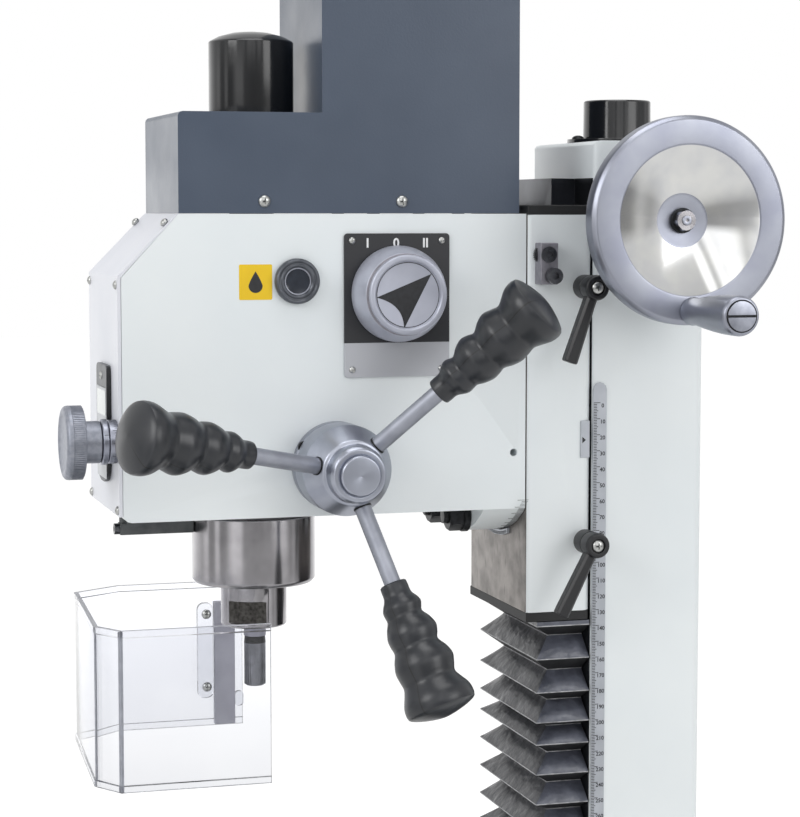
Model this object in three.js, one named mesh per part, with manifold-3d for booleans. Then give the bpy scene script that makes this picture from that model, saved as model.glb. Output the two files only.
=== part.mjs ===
// Drill milling machine: a bench machine with a tilting head on a dovetail column,
// a cross table on the base, a bellows over the way and a hinged chip guard.
// Frame: X to the operator's right, Y towards the column, Z up from the bench.
// The spindle axis is X 0, Y 0. Head and column heights count from the zero of the column scale.
import * as THREE from "three";
import { mergeVertices } from "three/addons/utils/BufferGeometryUtils.js";
import Module from "manifold-3d";

const wasm = await Module();
wasm.setup();

// Shared gaps and counts
const clearance = 0.3;
const overrun = 1;
const weld = 0.0001;
const faces_large = 40;
const faces_medium = 24;
const faces_small = 12;
const faces_hidden = 10;
const corner_steps = 3;

// Base casting
const base_half_width = 105;
const base_front_y = -235;
const base_back_y = 292;
const base_height = 95;
const base_corner_radius = 16;
const base_wall = 14;
const base_pocket_height = 38;
const base_rib_half_depth = 22;

// Cross slide way on the base
const y_way_half_width = 46;
const y_way_root_half_width = 38;
const y_way_height = 14;
const y_way_front_y = -226;
const y_way_back_y = 168;
const y_screw_radius = 7;
const y_screw_journal_radius = 5.5;
const y_screw_height = 70;
const y_channel_half_width = 17;
const y_channel_floor = 50;
const y_channel_front_y = -218;
const y_channel_back_y = 160;
const y_bearing_radius = 23;
const y_bearing_length = 12;

// Cross slide
const slide_half_width = 82;
const slide_half_depth = 85;
const slide_top = 155;
const slide_corner_radius = 6;
const y_nut_half_width = 13;
const y_nut_half_depth = 20;
const y_nut_drop = 13;

// Table
const table_half_length = 350;
const table_half_depth = 90;
const table_height = 45;
const table_corner_radius = 8;
const x_way_half_width = 44;
const x_way_root_half_width = 36;
const x_way_height = 14;
const slot_pitch = 50;
const slot_width = 10;
const slot_depth = 16;
const slot_foot_width = 16;
const slot_foot_height = 7;
const x_screw_radius = 6;
const x_screw_journal_radius = 5;
const x_screw_below_table = 6;
const x_channel_half_width = 11;
const x_channel_roof = 8;
const x_nut_half_length = 18;
const x_nut_radius = 9;
const x_bracket_thickness = 13;
const x_bracket_half_depth = 42;

// Small handwheels of the table
const small_wheel_radius = 50;
const small_wheel_rim = 11;
const small_wheel_hub_radius = 13;
const small_wheel_hub_length = 22;
const small_wheel_gap = 13;
const small_handle_radius = 7.5;
const small_handle_length = 46;

// Column casting
const scale_zero_height = 717;
const column_half_width = 56;
const column_front_y = 203;
const column_depth = 75;
const column_top_z = 162;
const column_edge_radius = 5;
const column_foot_half_width = 80;
const column_foot_front_y = 188;
const column_foot_back_y = 288;
const column_foot_height = 18;
const column_foot_radius = 12;
const column_side_wall = 18;
const column_front_wall = 19;
const column_bearing_height = 17;
const column_head_height = 14;
const column_slot_half_width = 12;
const column_slot_top_z = 80;
const column_slot_bottom_z = -318;
const cover_thickness = 2.5;
const cover_half_width = 46;
const cover_margin = 12;

// Dovetail way of the column
const way_front_y = 183.5;
const way_half_width = 34;
const way_root_half_width = 23;
const way_top_z = 139;
const way_gap = 0.35;

// Cap and scale on the column
const cap_flange_radius = 32;
const cap_flange_height = 2.5;
const cap_radius = 21.4;
const cap_height = 27;
const cap_wall = 3;
const scale_strip_front_y = 203.5;
const scale_strip_width = 9.1;
const scale_strip_thickness = 0.8;
const scale_strip_above_zero = 12.7;
const scale_strip_length = 318;

// Leadscrew and its bevel drive
const screw_y = 240.4;
const screw_radius = 8;
const screw_journal_radius = 6.5;
const crank_z = 113;
const bevel_pitch_radius = 16;
const bevel_teeth = 12;
const bevel_face_share = 0.34;
const bevel_tooth_share = 0.34;
const bevel_addendum = 1.6;
const bevel_dedendum = 2.1;
const bevel_hub_radius = 9;
const bevel_back_length = 7;
const crank_radius = 8;
const crank_end_radius = 6;
const crank_bearing_bore_radius = 14;
const crank_flange_radius = 25;
const crank_flange_length = 10;
const crank_boss_radius = 18;
const crank_boss_length = 25;
const z_nut_radius = 14;
const z_nut_half_height = 22;
const z_nut_arm_half_width = 10;
const z_nut_arm_half_height = 14;

// Large handwheel
const wheel_radius = 62.5;
const wheel_face_x = 120;
const wheel_rim = 14;
const wheel_dish_radius = 45;
const wheel_dish_depth = 13.3;
const wheel_hub_radius = 15;
const wheel_hub_length = 27;
const wheel_web = 8;
const wheel_edge = 2;
const handle_offset_y = 2;
const handle_offset_z = -54;
const handle_length = 62;
const handle_neck_radius = 6;
const handle_end_radius = 9.7;
const handle_bolt_radius = 4;
const handle_bolt_head_radius = 7.6;
const handle_bolt_head_height = 3;

// Head slide on the column
const saddle_half_width = 56;
const saddle_front_y = 160.3;
const saddle_back_y = 201.3;
const saddle_top_z = 116.4;
const saddle_bottom_z = -130;
const saddle_edge_radius = 3;
const wiper_height = 6;
const index_plate_outer_radius = 89.7;
const index_plate_inner_radius = 86.3;
const index_plate_half_chord = 24.5;
const index_plate_thickness = 2;
const stop_front_y = 164.9;
const stop_back_y = 176.2;
const stop_bottom_z = 73.9;
const stop_top_z = 99.3;
const stop_thickness = 11;
const pointer_front_y = 195.4;
const pointer_bottom_z = -34;
const pointer_top_z = -11;
const pointer_thickness = 1;

// Locking levers
const upper_lever_y = 195;
const upper_lever_z = 72.3;
const lower_lever_y = 196.5;
const lower_lever_z = -85.5;
const upper_lever_angle = -109;
const lower_lever_angle = -117;
const lever_stud_radius = 3.2;
const lever_stud_depth = 18;
const lever_boss_start_x = 61;
const lever_boss_end_x = 86;
const lever_boss_radius = 7.5;
const lever_arm_x = 78;
const lever_arm_length = 48;
const lever_arm_root_radius = 4.2;
const lever_arm_end_radius = 5.6;

// Head casting
const head_half_width = 54;
const head_front_y = -90.3;
const head_back_y = 160;
const head_top_z = 117;
const head_bottom_z = -64.6;
const head_chamfer_y = -56;
const head_chamfer_z = 79.8;
const head_edge_radius = 5;
const tilt_centre_z = 2;
const tilt_flange_radius = 85.7;
const tilt_flange_front_y = 133;
const tilt_spigot_radius = 30;
const tilt_spigot_length = 6;
const quill_bore_top_z = 62;
const front_channel_half_width = 9;
const front_channel_depth = 17;
const front_pocket_back_y = -38;
const rear_pocket_front_y = 62;
const rear_pocket_back_y = 122;
const pocket_half_width = 36;
const pocket_floor_z = -50;
const pocket_wall = 4;
const side_hole_y = 152.4;
const side_hole_z = -29.7;
const side_hole_radius = 2.4;
const side_hole_depth = 12;

// Bent front panel and its display
const panel_thickness = 2;
const panel_lip = 12;
const panel_bottom_z = -61;
const panel_gap = 0.3;
const display_left_x = -9;
const display_right_x = 29;
const display_bottom_z = -44;
const display_top_z = 27;
const display_low_radius = 14;
const display_top_radius = 4;
const display_thickness = 3;
const display_window_low_z = -3;
const display_window_top_z = 13;
const display_window_margin = 6;
const display_window_depth = 1;

// Motor cover and drawbar cap
const cover_low_front_y = -56;
const cover_step_y = 31.1;
const cover_back_y = 155.3;
const cover_low_top_z = 177;
const cover_tall_top_z = 330;
const cover_wall = 3;
const cover_edge_radius = 3;
const cover_hole_radius = 20;
const drawbar_cap_radius = 26;
const drawbar_cap_top_z = 225.4;
const drawbar_cap_shoulder = 5;
const drawbar_cap_wall = 2.5;

// Motor and belt drive
const motor_y = 93;
const motor_radius = 41;
const motor_bottom_z = 176;
const motor_length = 128;
const motor_foot_radius = 4;
const motor_foot_offset_x = 42;
const motor_foot_offset_y = 27;
const motor_plate_thickness = 8;
const motor_shaft_radius = 6;
const motor_pulley_radius = 18;
const spindle_pulley_radius = 40;
const pulley_bottom_z = 130;
const pulley_width = 20;
const pulley_flange = 2;
const belt_thickness = 2.5;
const belt_width = 14;

// Quill and spindle
const quill_radius = 31;
const quill_top_z = 45;
const quill_bore_radius = 16;
const collar_radius = 38.4;
const collar_top_z = -68;
const collar_bottom_z = -110.5;
const collar_chamfer = 3;
const quill_travel = 54;
const rack_margin = 14;
const rack_half_width = 8;
const nose_radius = 20.5;
const nose_bottom_z = -138;
const flat_across = 33;
const flat_bottom_z = -135.3;
const flat_top_z = -121.3;
const flat_angle = -26;
const spindle_radius = 15.7;
const spindle_shoulder_z = 47;
const spindle_shank_radius = 9;
const spindle_top_z = 168;
const taper_mouth_radius = 9;
const taper_end_radius = 7.4;
const taper_depth = 62;
const drawbar_radius = 5;
const drawbar_head_radius = 7.5;
const drawbar_head_height = 12;
const sleeve_radius = 14;

// Depth stop arm and rod
const depth_arm_half_width = 5;
const depth_arm_bottom_z = -78.5;
const depth_arm_top_z = -71.7;
const depth_arm_end_y = -84;
const depth_rod_y = -81.5;
const depth_rod_radius = 2.5;
const depth_rod_top_z = 55;

// Feed shaft, worm gearing and hub
const feed_y = 38.6;
const feed_z = -34.3;
const gear_module = 1.25;
const pinion_teeth = 14;
const pinion_half_width = 8.5;
const tooth_share = 0.4;
const pressure_angle = 20;
const feed_shaft_radius = 7;
const feed_shaft_inner_x = -26;
const worm_x = 44;
const worm_z = -17;
const worm_wheel_teeth = 24;
const worm_wheel_width = 6;
const worm_pitch_radius = 4.5;
const worm_tooth_share = 0.33;
const worm_root_share = 1.1;
const worm_half_length = 8;
const worm_shaft_radius = 2.9;
const flange_radius = 27;
const flange_thickness = 8;
const hub_radius = 27.2;
const hub_straight_x = 84;
const hub_cone_x = 98.5;
const hub_cone_radius = 18;
const hub_boss_radius = 15.4;
const hub_boss_end_radius = 12.4;
const hub_boss_x = 111;
const hub_disc_radius = 11.6;
const hub_disc_x = 114;
const hub_edge = 3;
const arm_angles_from_y = [46, 166, -74];
const arm_tilt = 22;
const arm_root_radius_from_axis = 16;
const arm_root_x = 90.4;
const arm_radius = 5;
const grip_start = 55;
const grip_length = 78;
const grip_dome = 5;
const grip_bore_depth = 50;
const grip_start_radius = 8;
const grip_end_radius = 20.6;

// Fine feed knob
const fine_knob_radius = 22.9;
const fine_knob_front_y = -127.7;
const fine_knob_back_y = -110;
const fine_knob_chamfer = 3;
const fine_knob_dish = 2;
const fine_neck_radius = 12.5;
const fine_neck_end_y = -102.5;
const fine_dial_end_y = -98;

// Speed knob, plate and plug on the side of the head
const plate_front_y = 44.1;
const plate_back_y = 110.2;
const plate_bottom_z = 18.7;
const plate_top_z = 105.3;
const plate_thickness = 1.5;
const speed_knob_y = 77.1;
const speed_knob_z = 69;
const speed_knob_base_radius = 29;
const speed_knob_rim_radius = 23.7;
const speed_knob_face_radius = 19.6;
const speed_knob_height = 25;
const speed_knob_skirt = 4;
const speed_knob_dish = 2;
const speed_knob_shaft_radius = 5;
const plug_y = 15;
const plug_z = 77;
const plug_radius = 13.6;
const plug_thickness = 5;
const plug_window_radius = 8;
const plug_window_depth = 2;

// Chip guard and its hinge post
const guard_half_width = 82;
const guard_front_y = -110;
const guard_corner_y = -97;
const guard_corner_x = 62;
const guard_near_end_y = -8;
const guard_far_end_y = 10;
const guard_bottom_z = -219;
const guard_top_z = -123.5;
const guard_wall = 4;
const post_x = -78;
const post_y = 18;
const post_radius = 5;
const post_top_z = -14;
const post_bottom_z = -158;
const guard_bar_front_y = -10;
const guard_bar_back_y = 3.5;
const guard_bar_thickness = 5;
const guard_bar_top_z = -136;
const guard_bar_bottom_z = -217;
const guard_arm_height = 14;
const guard_arm_half_width = 7;
const guard_knob_radius = 7.5;
const guard_knob_top_z = -160;
const guard_knob_bottom_z = -193;
const post_mount_front_y = 2;
const post_mount_back_y = 34;
const post_mount_bottom_z = -56;
const post_mount_top_z = -22;
const post_mount_left_x = -90;

// Bellows
const bellows_half_width = 56;
const bellows_crease_half_width = 40;
const bellows_front_y = 167.5;
const bellows_crease_front_y = 181.6;
const bellows_back_y = 202.6;
const bellows_wall = 1;
const bellows_pitch = 18.7;
const bellows_frame_height = 3;

// Finishes
const white_paint = { color: 0xe8eaea, roughness: 0.42, metalness: 0 };
const slate_paint = { color: 0x4a5666, roughness: 0.5, metalness: 0 };
const ground_iron = { color: 0x6f6f70, roughness: 0.45, metalness: 0.9 };
const bright_steel = { color: 0xc9cbcd, roughness: 0.28, metalness: 1 };
const satin_steel = { color: 0xa7aaac, roughness: 0.38, metalness: 1 };
const dark_steel = { color: 0x3b3d40, roughness: 0.5, metalness: 0.8 };
const black_plastic = { color: 0x17181a, roughness: 0.3, metalness: 0 };
const silver_plastic = { color: 0xb9bcc2, roughness: 0.35, metalness: 0 };
const grey_plastic = { color: 0x7b8087, roughness: 0.5, metalness: 0 };
const black_rubber = { color: 0x202123, roughness: 0.75, metalness: 0 };
const bronze = { color: 0xb08a4a, roughness: 0.4, metalness: 1 };
const clear_plastic = { color: 0xdfe8ec, roughness: 0.1, metalness: 0, transparent: true, opacity: 0.35 };

// A closed mesh becomes a solid, turned face out when its faces point inwards
function solid(geometry) {
  const bare = geometry.clone();
  bare.deleteAttribute("normal");
  bare.deleteAttribute("uv");
  const merged = mergeVertices(bare, weld);
  const index = merged.index.array;
  const kept = [];
  for (let i = 0; i < index.length; i += 3) {
    const [a, b, c] = [index[i], index[i + 1], index[i + 2]];
    if (a !== b && b !== c && c !== a) kept.push(a, b, c);
  }
  const build = (triangles) =>
    new wasm.Manifold(
      new wasm.Mesh({
        numProp: 3,
        vertProperties: new Float32Array(merged.attributes.position.array),
        triVerts: new Uint32Array(triangles),
      }),
    );
  const made = build(kept);
  if (made.volume() > 0) return made;
  const turned_over = [];
  for (let i = 0; i < kept.length; i += 3) turned_over.push(kept[i], kept[i + 2], kept[i + 1]);
  return build(turned_over);
}

// A solid becomes a mesh geometry again
function geometryOf(shape) {
  const mesh = shape.getMesh();
  const points = new Float32Array(mesh.numVert * 3);
  for (let i = 0; i < mesh.numVert; i++) {
    points.set(mesh.vertProperties.subarray(i * mesh.numProp, i * mesh.numProp + 3), i * 3);
  }
  const geometry = new THREE.BufferGeometry();
  geometry.setAttribute("position", new THREE.BufferAttribute(points, 3));
  geometry.setIndex(new THREE.BufferAttribute(new Uint32Array(mesh.triVerts), 1));
  geometry.computeVertexNormals();
  return geometry;
}

// The corner radius of a faceted bore whose flats clear a shaft
const boreRadius = (radius, faces) => (radius + clearance) / Math.cos(Math.PI / faces);

// A named piece in its group, with a material of its own
function piece(parent, name, shape, finish) {
  const mesh = new THREE.Mesh(geometryOf(shape), new THREE.MeshStandardMaterial({ ...finish }));
  mesh.name = name;
  parent.add(mesh);
  return mesh;
}

// A group placed in its parent
function groupAt(parent, x, y, z) {
  const group = new THREE.Group();
  group.position.set(x, y, z);
  parent.add(group);
  return group;
}

// A box between its six faces
function block(x0, x1, y0, y1, z0, z1) {
  const geometry = new THREE.BoxGeometry(x1 - x0, y1 - y0, z1 - z0);
  geometry.translate((x0 + x1) / 2, (y0 + y1) / 2, (z0 + z1) / 2);
  return solid(geometry);
}

// Turns a geometry built along its Y axis to lie along the named axis
function alongAxis(geometry, axis) {
  if (axis === "x") geometry.rotateZ(-Math.PI / 2);
  if (axis === "z") geometry.rotateX(Math.PI / 2);
  return geometry;
}

// Moves a geometry to a centre given across the named axis: (y, z), (x, z) or (x, y)
function acrossAxis(geometry, axis, u, v) {
  if (axis === "x") return geometry.translate(0, u, v);
  if (axis === "y") return geometry.translate(u, 0, v);
  return geometry.translate(u, v, 0);
}

// A round bar along an axis
function rod(axis, radius, from, to, u, v, faces = faces_small) {
  const geometry = new THREE.CylinderGeometry(radius, radius, to - from, faces);
  geometry.translate(0, (from + to) / 2, 0);
  return solid(acrossAxis(alongAxis(geometry, axis), axis, u, v));
}

// A turned piece: a profile of [radius, place along the axis] spun round the axis
function turned(axis, profile, faces = faces_medium, u = 0, v = 0) {
  const points = profile.map(([radius, along]) => new THREE.Vector2(radius, along));
  const geometry = new THREE.LatheGeometry(points, faces);
  return solid(acrossAxis(alongAxis(geometry, axis), axis, u, v));
}

// A closed outline from corners [u, v, radius], where a radius rounds its corner
function outline(corners) {
  const points = [];
  corners.forEach(([u, v, radius = 0], i) => {
    const corner = new THREE.Vector2(u, v);
    if (radius === 0) {
      points.push(corner);
      return;
    }
    const before = corners[(i + corners.length - 1) % corners.length];
    const after = corners[(i + 1) % corners.length];
    const back = new THREE.Vector2(before[0], before[1]).sub(corner).normalize();
    const ahead = new THREE.Vector2(after[0], after[1]).sub(corner).normalize();
    const half_angle = back.angleTo(ahead) / 2;
    const start = corner.clone().addScaledVector(back, radius / Math.tan(half_angle));
    const end = corner.clone().addScaledVector(ahead, radius / Math.tan(half_angle));
    const middle = back.clone().add(ahead).normalize();
    const centre = corner.clone().addScaledVector(middle, radius / Math.sin(half_angle));
    const first = Math.atan2(start.y - centre.y, start.x - centre.x);
    let turn = Math.atan2(end.y - centre.y, end.x - centre.x) - first;
    if (turn > Math.PI) turn -= 2 * Math.PI;
    if (turn < -Math.PI) turn += 2 * Math.PI;
    for (let k = 0; k <= corner_steps; k++) {
      const angle = first + (turn * k) / corner_steps;
      points.push(new THREE.Vector2(Math.cos(angle), Math.sin(angle)).multiplyScalar(radius).add(centre));
    }
  });
  return new THREE.Shape(points);
}

// A rectangle outline between its sides
function rectangle(u0, u1, v0, v1, radius = 0) {
  return outline([[u0, v0, radius], [u1, v0, radius], [u1, v1, radius], [u0, v1, radius]]);
}

// An outline pushed along an axis: outlines lie in (y, z), (x, z) or (x, y)
function prism(axis, shape, from, to) {
  const geometry = new THREE.ExtrudeGeometry(
    shape, { depth: to - from, bevelEnabled: false, curveSegments: faces_small },
  );
  const x = new THREE.Vector3(1, 0, 0);
  const y = new THREE.Vector3(0, 1, 0);
  const z = new THREE.Vector3(0, 0, 1);
  const turn = new THREE.Matrix4();
  if (axis === "x") {
    geometry.applyMatrix4(turn.makeBasis(y, z, x)).translate(from, 0, 0);
  } else if (axis === "y") {
    geometry.applyMatrix4(turn.makeBasis(x, z, y.negate())).translate(0, to, 0);
  } else {
    geometry.translate(0, 0, from);
  }
  return solid(geometry);
}

// The outline of a bent sheet: a path and the same path moved to its left by the thickness
function bentSheet(path, thickness) {
  const points = path.map(([u, v]) => new THREE.Vector2(u, v));
  const normals = [];
  for (let i = 0; i < points.length - 1; i++) {
    const run = points[i + 1].clone().sub(points[i]).normalize();
    normals.push(new THREE.Vector2(-run.y, run.x));
  }
  const moved = points.map((point, i) => {
    const before = normals[Math.max(i - 1, 0)];
    const after = normals[Math.min(i, normals.length - 1)];
    const mitre = before.clone().add(after).multiplyScalar(thickness / (1 + before.dot(after)));
    return point.clone().add(mitre);
  });
  return new THREE.Shape([...points, ...moved.reverse()]);
}

// The outline of a dovetail, wider or narrower by a gap all round
function dovetail(half_width, root_half_width, front, root, gap) {
  const slope = (half_width - root_half_width) / (root - front);
  const reach = root + Math.sign(root - front) * overrun;
  const root_half = half_width - slope * (reach - front) + gap;
  return outline([
    [-half_width - gap, front - Math.sign(root - front) * gap],
    [half_width + gap, front - Math.sign(root - front) * gap],
    [root_half, reach],
    [-root_half, reach],
  ]);
}

// A spur gear's outline round (0, 0): straight flanked teeth, the first one along +u
function gearOutline(teeth, module_size, share, addendum_share = 1, dedendum_share = 1.25) {
  const pitch_radius = (module_size * teeth) / 2;
  const tip_radius = pitch_radius + module_size * addendum_share;
  const root_radius = pitch_radius - module_size * dedendum_share;
  const lean = Math.tan(THREE.MathUtils.degToRad(pressure_angle));
  const half_pitch_angle = (Math.PI / teeth) * share;
  const tip_angle = half_pitch_angle - (lean * module_size * addendum_share) / tip_radius;
  const root_angle = half_pitch_angle + (lean * module_size * dedendum_share) / root_radius;
  const points = [];
  for (let i = 0; i < teeth; i++) {
    const middle = (2 * Math.PI * i) / teeth;
    const corners = [
      [root_radius, -root_angle], [tip_radius, -tip_angle], [tip_radius, tip_angle],
      [root_radius, root_angle],
    ];
    for (const [radius, angle] of corners) {
      points.push(new THREE.Vector2(radius * Math.cos(middle + angle), radius * Math.sin(middle + angle)));
    }
  }
  return new THREE.Shape(points);
}

// A bevel gear whose cone apex is the origin and whose body lies below it on the Z axis
function bevelGear(first_tooth_angle) {
  const outer = [];
  const inner_scale = 1 - bevel_face_share;
  const half_pitch = (Math.PI / bevel_teeth) * bevel_tooth_share;
  for (let i = 0; i < bevel_teeth; i++) {
    const middle = first_tooth_angle + (2 * Math.PI * i) / bevel_teeth;
    const corners = [
      [-bevel_dedendum, -half_pitch], [bevel_addendum, -half_pitch / 2], [bevel_addendum, half_pitch / 2],
      [-bevel_dedendum, half_pitch],
    ];
    for (const [height, angle] of corners) {
      const out = bevel_pitch_radius + height * Math.SQRT1_2;
      const up = -bevel_pitch_radius + height * Math.SQRT1_2;
      outer.push(new THREE.Vector3(out * Math.cos(middle + angle), out * Math.sin(middle + angle), up));
    }
  }
  const count = outer.length;
  const base_up = -bevel_pitch_radius - bevel_dedendum;
  const inner_up = -bevel_pitch_radius * inner_scale;
  const points = [...outer, ...outer.map((p) => p.clone().multiplyScalar(inner_scale))];
  points.push(new THREE.Vector3(0, 0, base_up), new THREE.Vector3(0, 0, inner_up));
  const index = [];
  for (let i = 0; i < count; i++) {
    const next = (i + 1) % count;
    index.push(i, next, count + i, next, count + next, count + i);
    index.push(i, 2 * count, next, count + i, count + next, 2 * count + 1);
  }
  const geometry = new THREE.BufferGeometry();
  geometry.setAttribute(
    "position", new THREE.Float32BufferAttribute(points.flatMap((p) => [p.x, p.y, p.z]), 3),
  );
  geometry.setIndex(index);
  const back = -bevel_pitch_radius - bevel_back_length;
  return solid(geometry).add(rod(
    "z", bevel_hub_radius, back, inner_up - bevel_addendum, 0, 0, bevel_teeth,
  ));
}

// A worm along Y, centred on the origin: a straight flanked thread wound on its core
function wormSolid(pitch_radius, addendum, dedendum, lead, half_length) {
  const around = faces_hidden;
  const steps_per_lead = 4;
  const rows = Math.round((2 * half_length * steps_per_lead) / lead);
  const points = [];
  for (let j = 0; j <= rows; j++) {
    const along = -half_length + (2 * half_length * j) / rows;
    for (let i = 0; i < around; i++) {
      const angle = (2 * Math.PI * i) / around;
      const phase = (((along / lead - i / around) % 1) + 1.5) % 1;
      const distance = Math.abs(phase - 0.5) * lead;
      const flank = Math.tan(THREE.MathUtils.degToRad(pressure_angle));
      const rise = ((worm_tooth_share * lead) / 2 - distance) / flank;
      const radius = pitch_radius + Math.max(-dedendum, Math.min(addendum, rise));
      points.push(new THREE.Vector3(radius * Math.sin(angle), along, radius * Math.cos(angle)));
    }
  }
  const last = rows * around;
  points.push(new THREE.Vector3(0, -half_length, 0), new THREE.Vector3(0, half_length, 0));
  const index = [];
  for (let i = 0; i < around; i++) {
    const next = (i + 1) % around;
    for (let j = 0; j < rows; j++) {
      const low = j * around;
      const high = low + around;
      index.push(low + i, low + next, high + i, low + next, high + next, high + i);
    }
    index.push(i, points.length - 2, next, last + i, last + next, points.length - 1);
  }
  const geometry = new THREE.BufferGeometry();
  geometry.setAttribute(
    "position", new THREE.Float32BufferAttribute(points.flatMap((p) => [p.x, p.y, p.z]), 3),
  );
  geometry.setIndex(index);
  return solid(geometry);
}

// A handwheel facing +X: a rim round a dished web and a bored hub, front of the rim at X 0
function handwheel(radius, rim, dish_radius, dish_depth, hub_radius, hub_length, bore_radius, faces) {
  const bore = bore_radius + clearance;
  return turned("x", [
    [bore, -dish_depth - hub_length],
    [hub_radius, -dish_depth - hub_length],
    [hub_radius, -dish_depth - wheel_web],
    [dish_radius, -rim + wheel_edge],
    [dish_radius + wheel_edge, -rim],
    [radius - wheel_edge, -rim],
    [radius, -rim + wheel_edge],
    [radius, -wheel_edge],
    [radius - wheel_edge, 0],
    [dish_radius, 0],
    [dish_radius - wheel_edge, -wheel_edge],
    [hub_radius, -dish_depth],
    [bore, -dish_depth],
    [bore, -dish_depth - hub_length],
  ], faces);
}

// A crank handle along +X from X 0: a waisted grip bored for its bolt
function crankHandle(length, neck_radius, end_radius, bore_radius) {
  const swell_share = 0.7;
  const neck_share = 0.12;
  const bore = bore_radius > 0 ? bore_radius + clearance : 0;
  return turned("x", [
    [bore, 0],
    [neck_radius + overrun, 0],
    [neck_radius, length * neck_share],
    [(neck_radius + end_radius) / 2, length / 2],
    [end_radius, length * swell_share],
    [end_radius, length - wheel_edge],
    [end_radius - wheel_edge, length],
    [bore, length],
    ...(bore > 0 ? [[bore, 0]] : []),
  ], faces_small);
}

const machine = new THREE.Group();
const way_root_y = column_front_y;
const column_back_y = column_front_y + column_depth;
const column_foot_top = base_height + column_foot_height;
const column_foot_top_z = column_foot_top - scale_zero_height;

// Base: a casting with two open pockets underneath and the cross slide way on top
let base = prism(
  "z", rectangle(-base_half_width, base_half_width, base_front_y, base_back_y, base_corner_radius), 0,
  base_height,
);
const pocket_x = base_half_width - base_wall;
const pocket_corner = base_corner_radius - base_wall / 2;
for (const [front, back] of [[base_front_y + base_wall, -base_rib_half_depth], [base_rib_half_depth, base_back_y - base_wall]]) {
  const pocket = rectangle(-pocket_x, pocket_x, front, back, pocket_corner);
  base = base.subtract(prism("z", pocket, -overrun, base_pocket_height));
}
const y_way_top = base_height + y_way_height;
base = base.add(
  prism(
    "y", dovetail(y_way_half_width, y_way_root_half_width, y_way_top, base_height, 0), y_way_front_y,
    y_way_back_y,
  ),
);
base = base.subtract(block(
  -y_channel_half_width, y_channel_half_width, y_channel_front_y, y_channel_back_y, y_channel_floor,
  y_way_top + overrun,
));
base = base.add(rod(
  "y", y_bearing_radius, base_front_y - y_bearing_length, y_channel_front_y, 0, y_screw_height,
  faces_medium,
));
base = base.subtract(rod(
  "y", y_screw_journal_radius + clearance, base_front_y - y_bearing_length - overrun,
  y_channel_front_y + overrun, 0, y_screw_height,
));
piece(machine, "base", base, white_paint);

// Column: a hollow casting with a foot, a slot for the nut and the dovetail way in front
const column = groupAt(machine, 0, 0, scale_zero_height);
const column_bottom_z = base_height - scale_zero_height;
const column_profile = rectangle(
  -column_half_width, column_half_width, column_front_y, column_back_y, column_edge_radius,
);
let column_body = prism("z", column_profile, column_bottom_z, column_top_z);
const below = column_bottom_z - overrun;
column_body = column_body.intersect(
  prism("x", outline([
    [column_front_y - overrun, below],
    [column_back_y + overrun, below],
    [column_back_y + overrun, column_top_z],
    [column_front_y, column_top_z, column_edge_radius],
    [column_front_y, column_top_z - column_edge_radius * 2],
    [column_front_y - overrun, column_top_z - column_edge_radius * 2],
  ]), -column_half_width - overrun, column_half_width + overrun),
);
column_body = column_body.add(
  prism(
    "z",
    rectangle(
      -column_foot_half_width, column_foot_half_width, column_foot_front_y, column_foot_back_y,
      column_foot_radius,
    ),
    column_bottom_z, column_foot_top_z,
  ),
);
column_body = column_body.add(
  prism(
    "z", dovetail(way_half_width, way_root_half_width, way_front_y, way_root_y, 0),
    column_foot_top_z - overrun, way_top_z,
  ),
);
const cavity_x = column_half_width - column_side_wall;
const cavity_top_z = column_top_z - column_head_height;
const bearing_top_z = column_foot_top_z + column_bearing_height;
column_body = column_body.subtract(block(
  -cavity_x, cavity_x, column_front_y + column_front_wall, column_back_y + overrun, bearing_top_z,
  cavity_top_z,
));
column_body = column_body.subtract(block(
  -column_slot_half_width, column_slot_half_width, way_front_y - overrun,
  column_front_y + column_front_wall + overrun, column_slot_bottom_z, column_slot_top_z,
));
const journal_bore = screw_journal_radius + clearance;
column_body = column_body.subtract(rod(
  "z", journal_bore, bearing_top_z - column_bearing_height, bearing_top_z + overrun, 0, screw_y,
));
column_body = column_body.subtract(rod(
  "z", journal_bore, cavity_top_z - overrun, column_top_z + overrun, 0, screw_y,
));
column_body = column_body.subtract(rod(
  "x", crank_bearing_bore_radius + clearance, cavity_x - overrun, column_half_width + overrun, screw_y,
  crank_z, faces_medium,
));
piece(column, "column", column_body, white_paint);

// Rear cover, top cap and scale strip of the column
piece(
  column, "column_cover",
  block(
    -cover_half_width, cover_half_width, column_back_y, column_back_y + cover_thickness, bearing_top_z,
    column_top_z - cover_margin,
  ),
  white_paint,
);
const cap_top_z = column_top_z + cap_height;
piece(column, "top_cap", turned("z", [
  [cap_radius - cap_wall, column_top_z],
  [cap_flange_radius, column_top_z],
  [cap_flange_radius, column_top_z + cap_flange_height],
  [cap_radius, column_top_z + cap_flange_height],
  [cap_radius, cap_top_z - wheel_edge],
  [cap_radius - wheel_edge, cap_top_z],
  [0, cap_top_z],
  [0, cap_top_z - cap_wall],
  [cap_radius - cap_wall, cap_top_z - cap_wall],
  [cap_radius - cap_wall, column_top_z],
], faces_medium, 0, screw_y), black_plastic);
const strip_back_y = scale_strip_front_y + scale_strip_width;
const strip_top_z = scale_strip_above_zero;
piece(column, "column_scale", prism("x", outline([
  [scale_strip_front_y, strip_top_z - scale_strip_length],
  [strip_back_y, strip_top_z - scale_strip_length],
  [strip_back_y, strip_top_z, scale_strip_width / 2 - weld],
  [scale_strip_front_y, strip_top_z, scale_strip_width / 2 - weld],
]), column_half_width, column_half_width + scale_strip_thickness), bright_steel);

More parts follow.
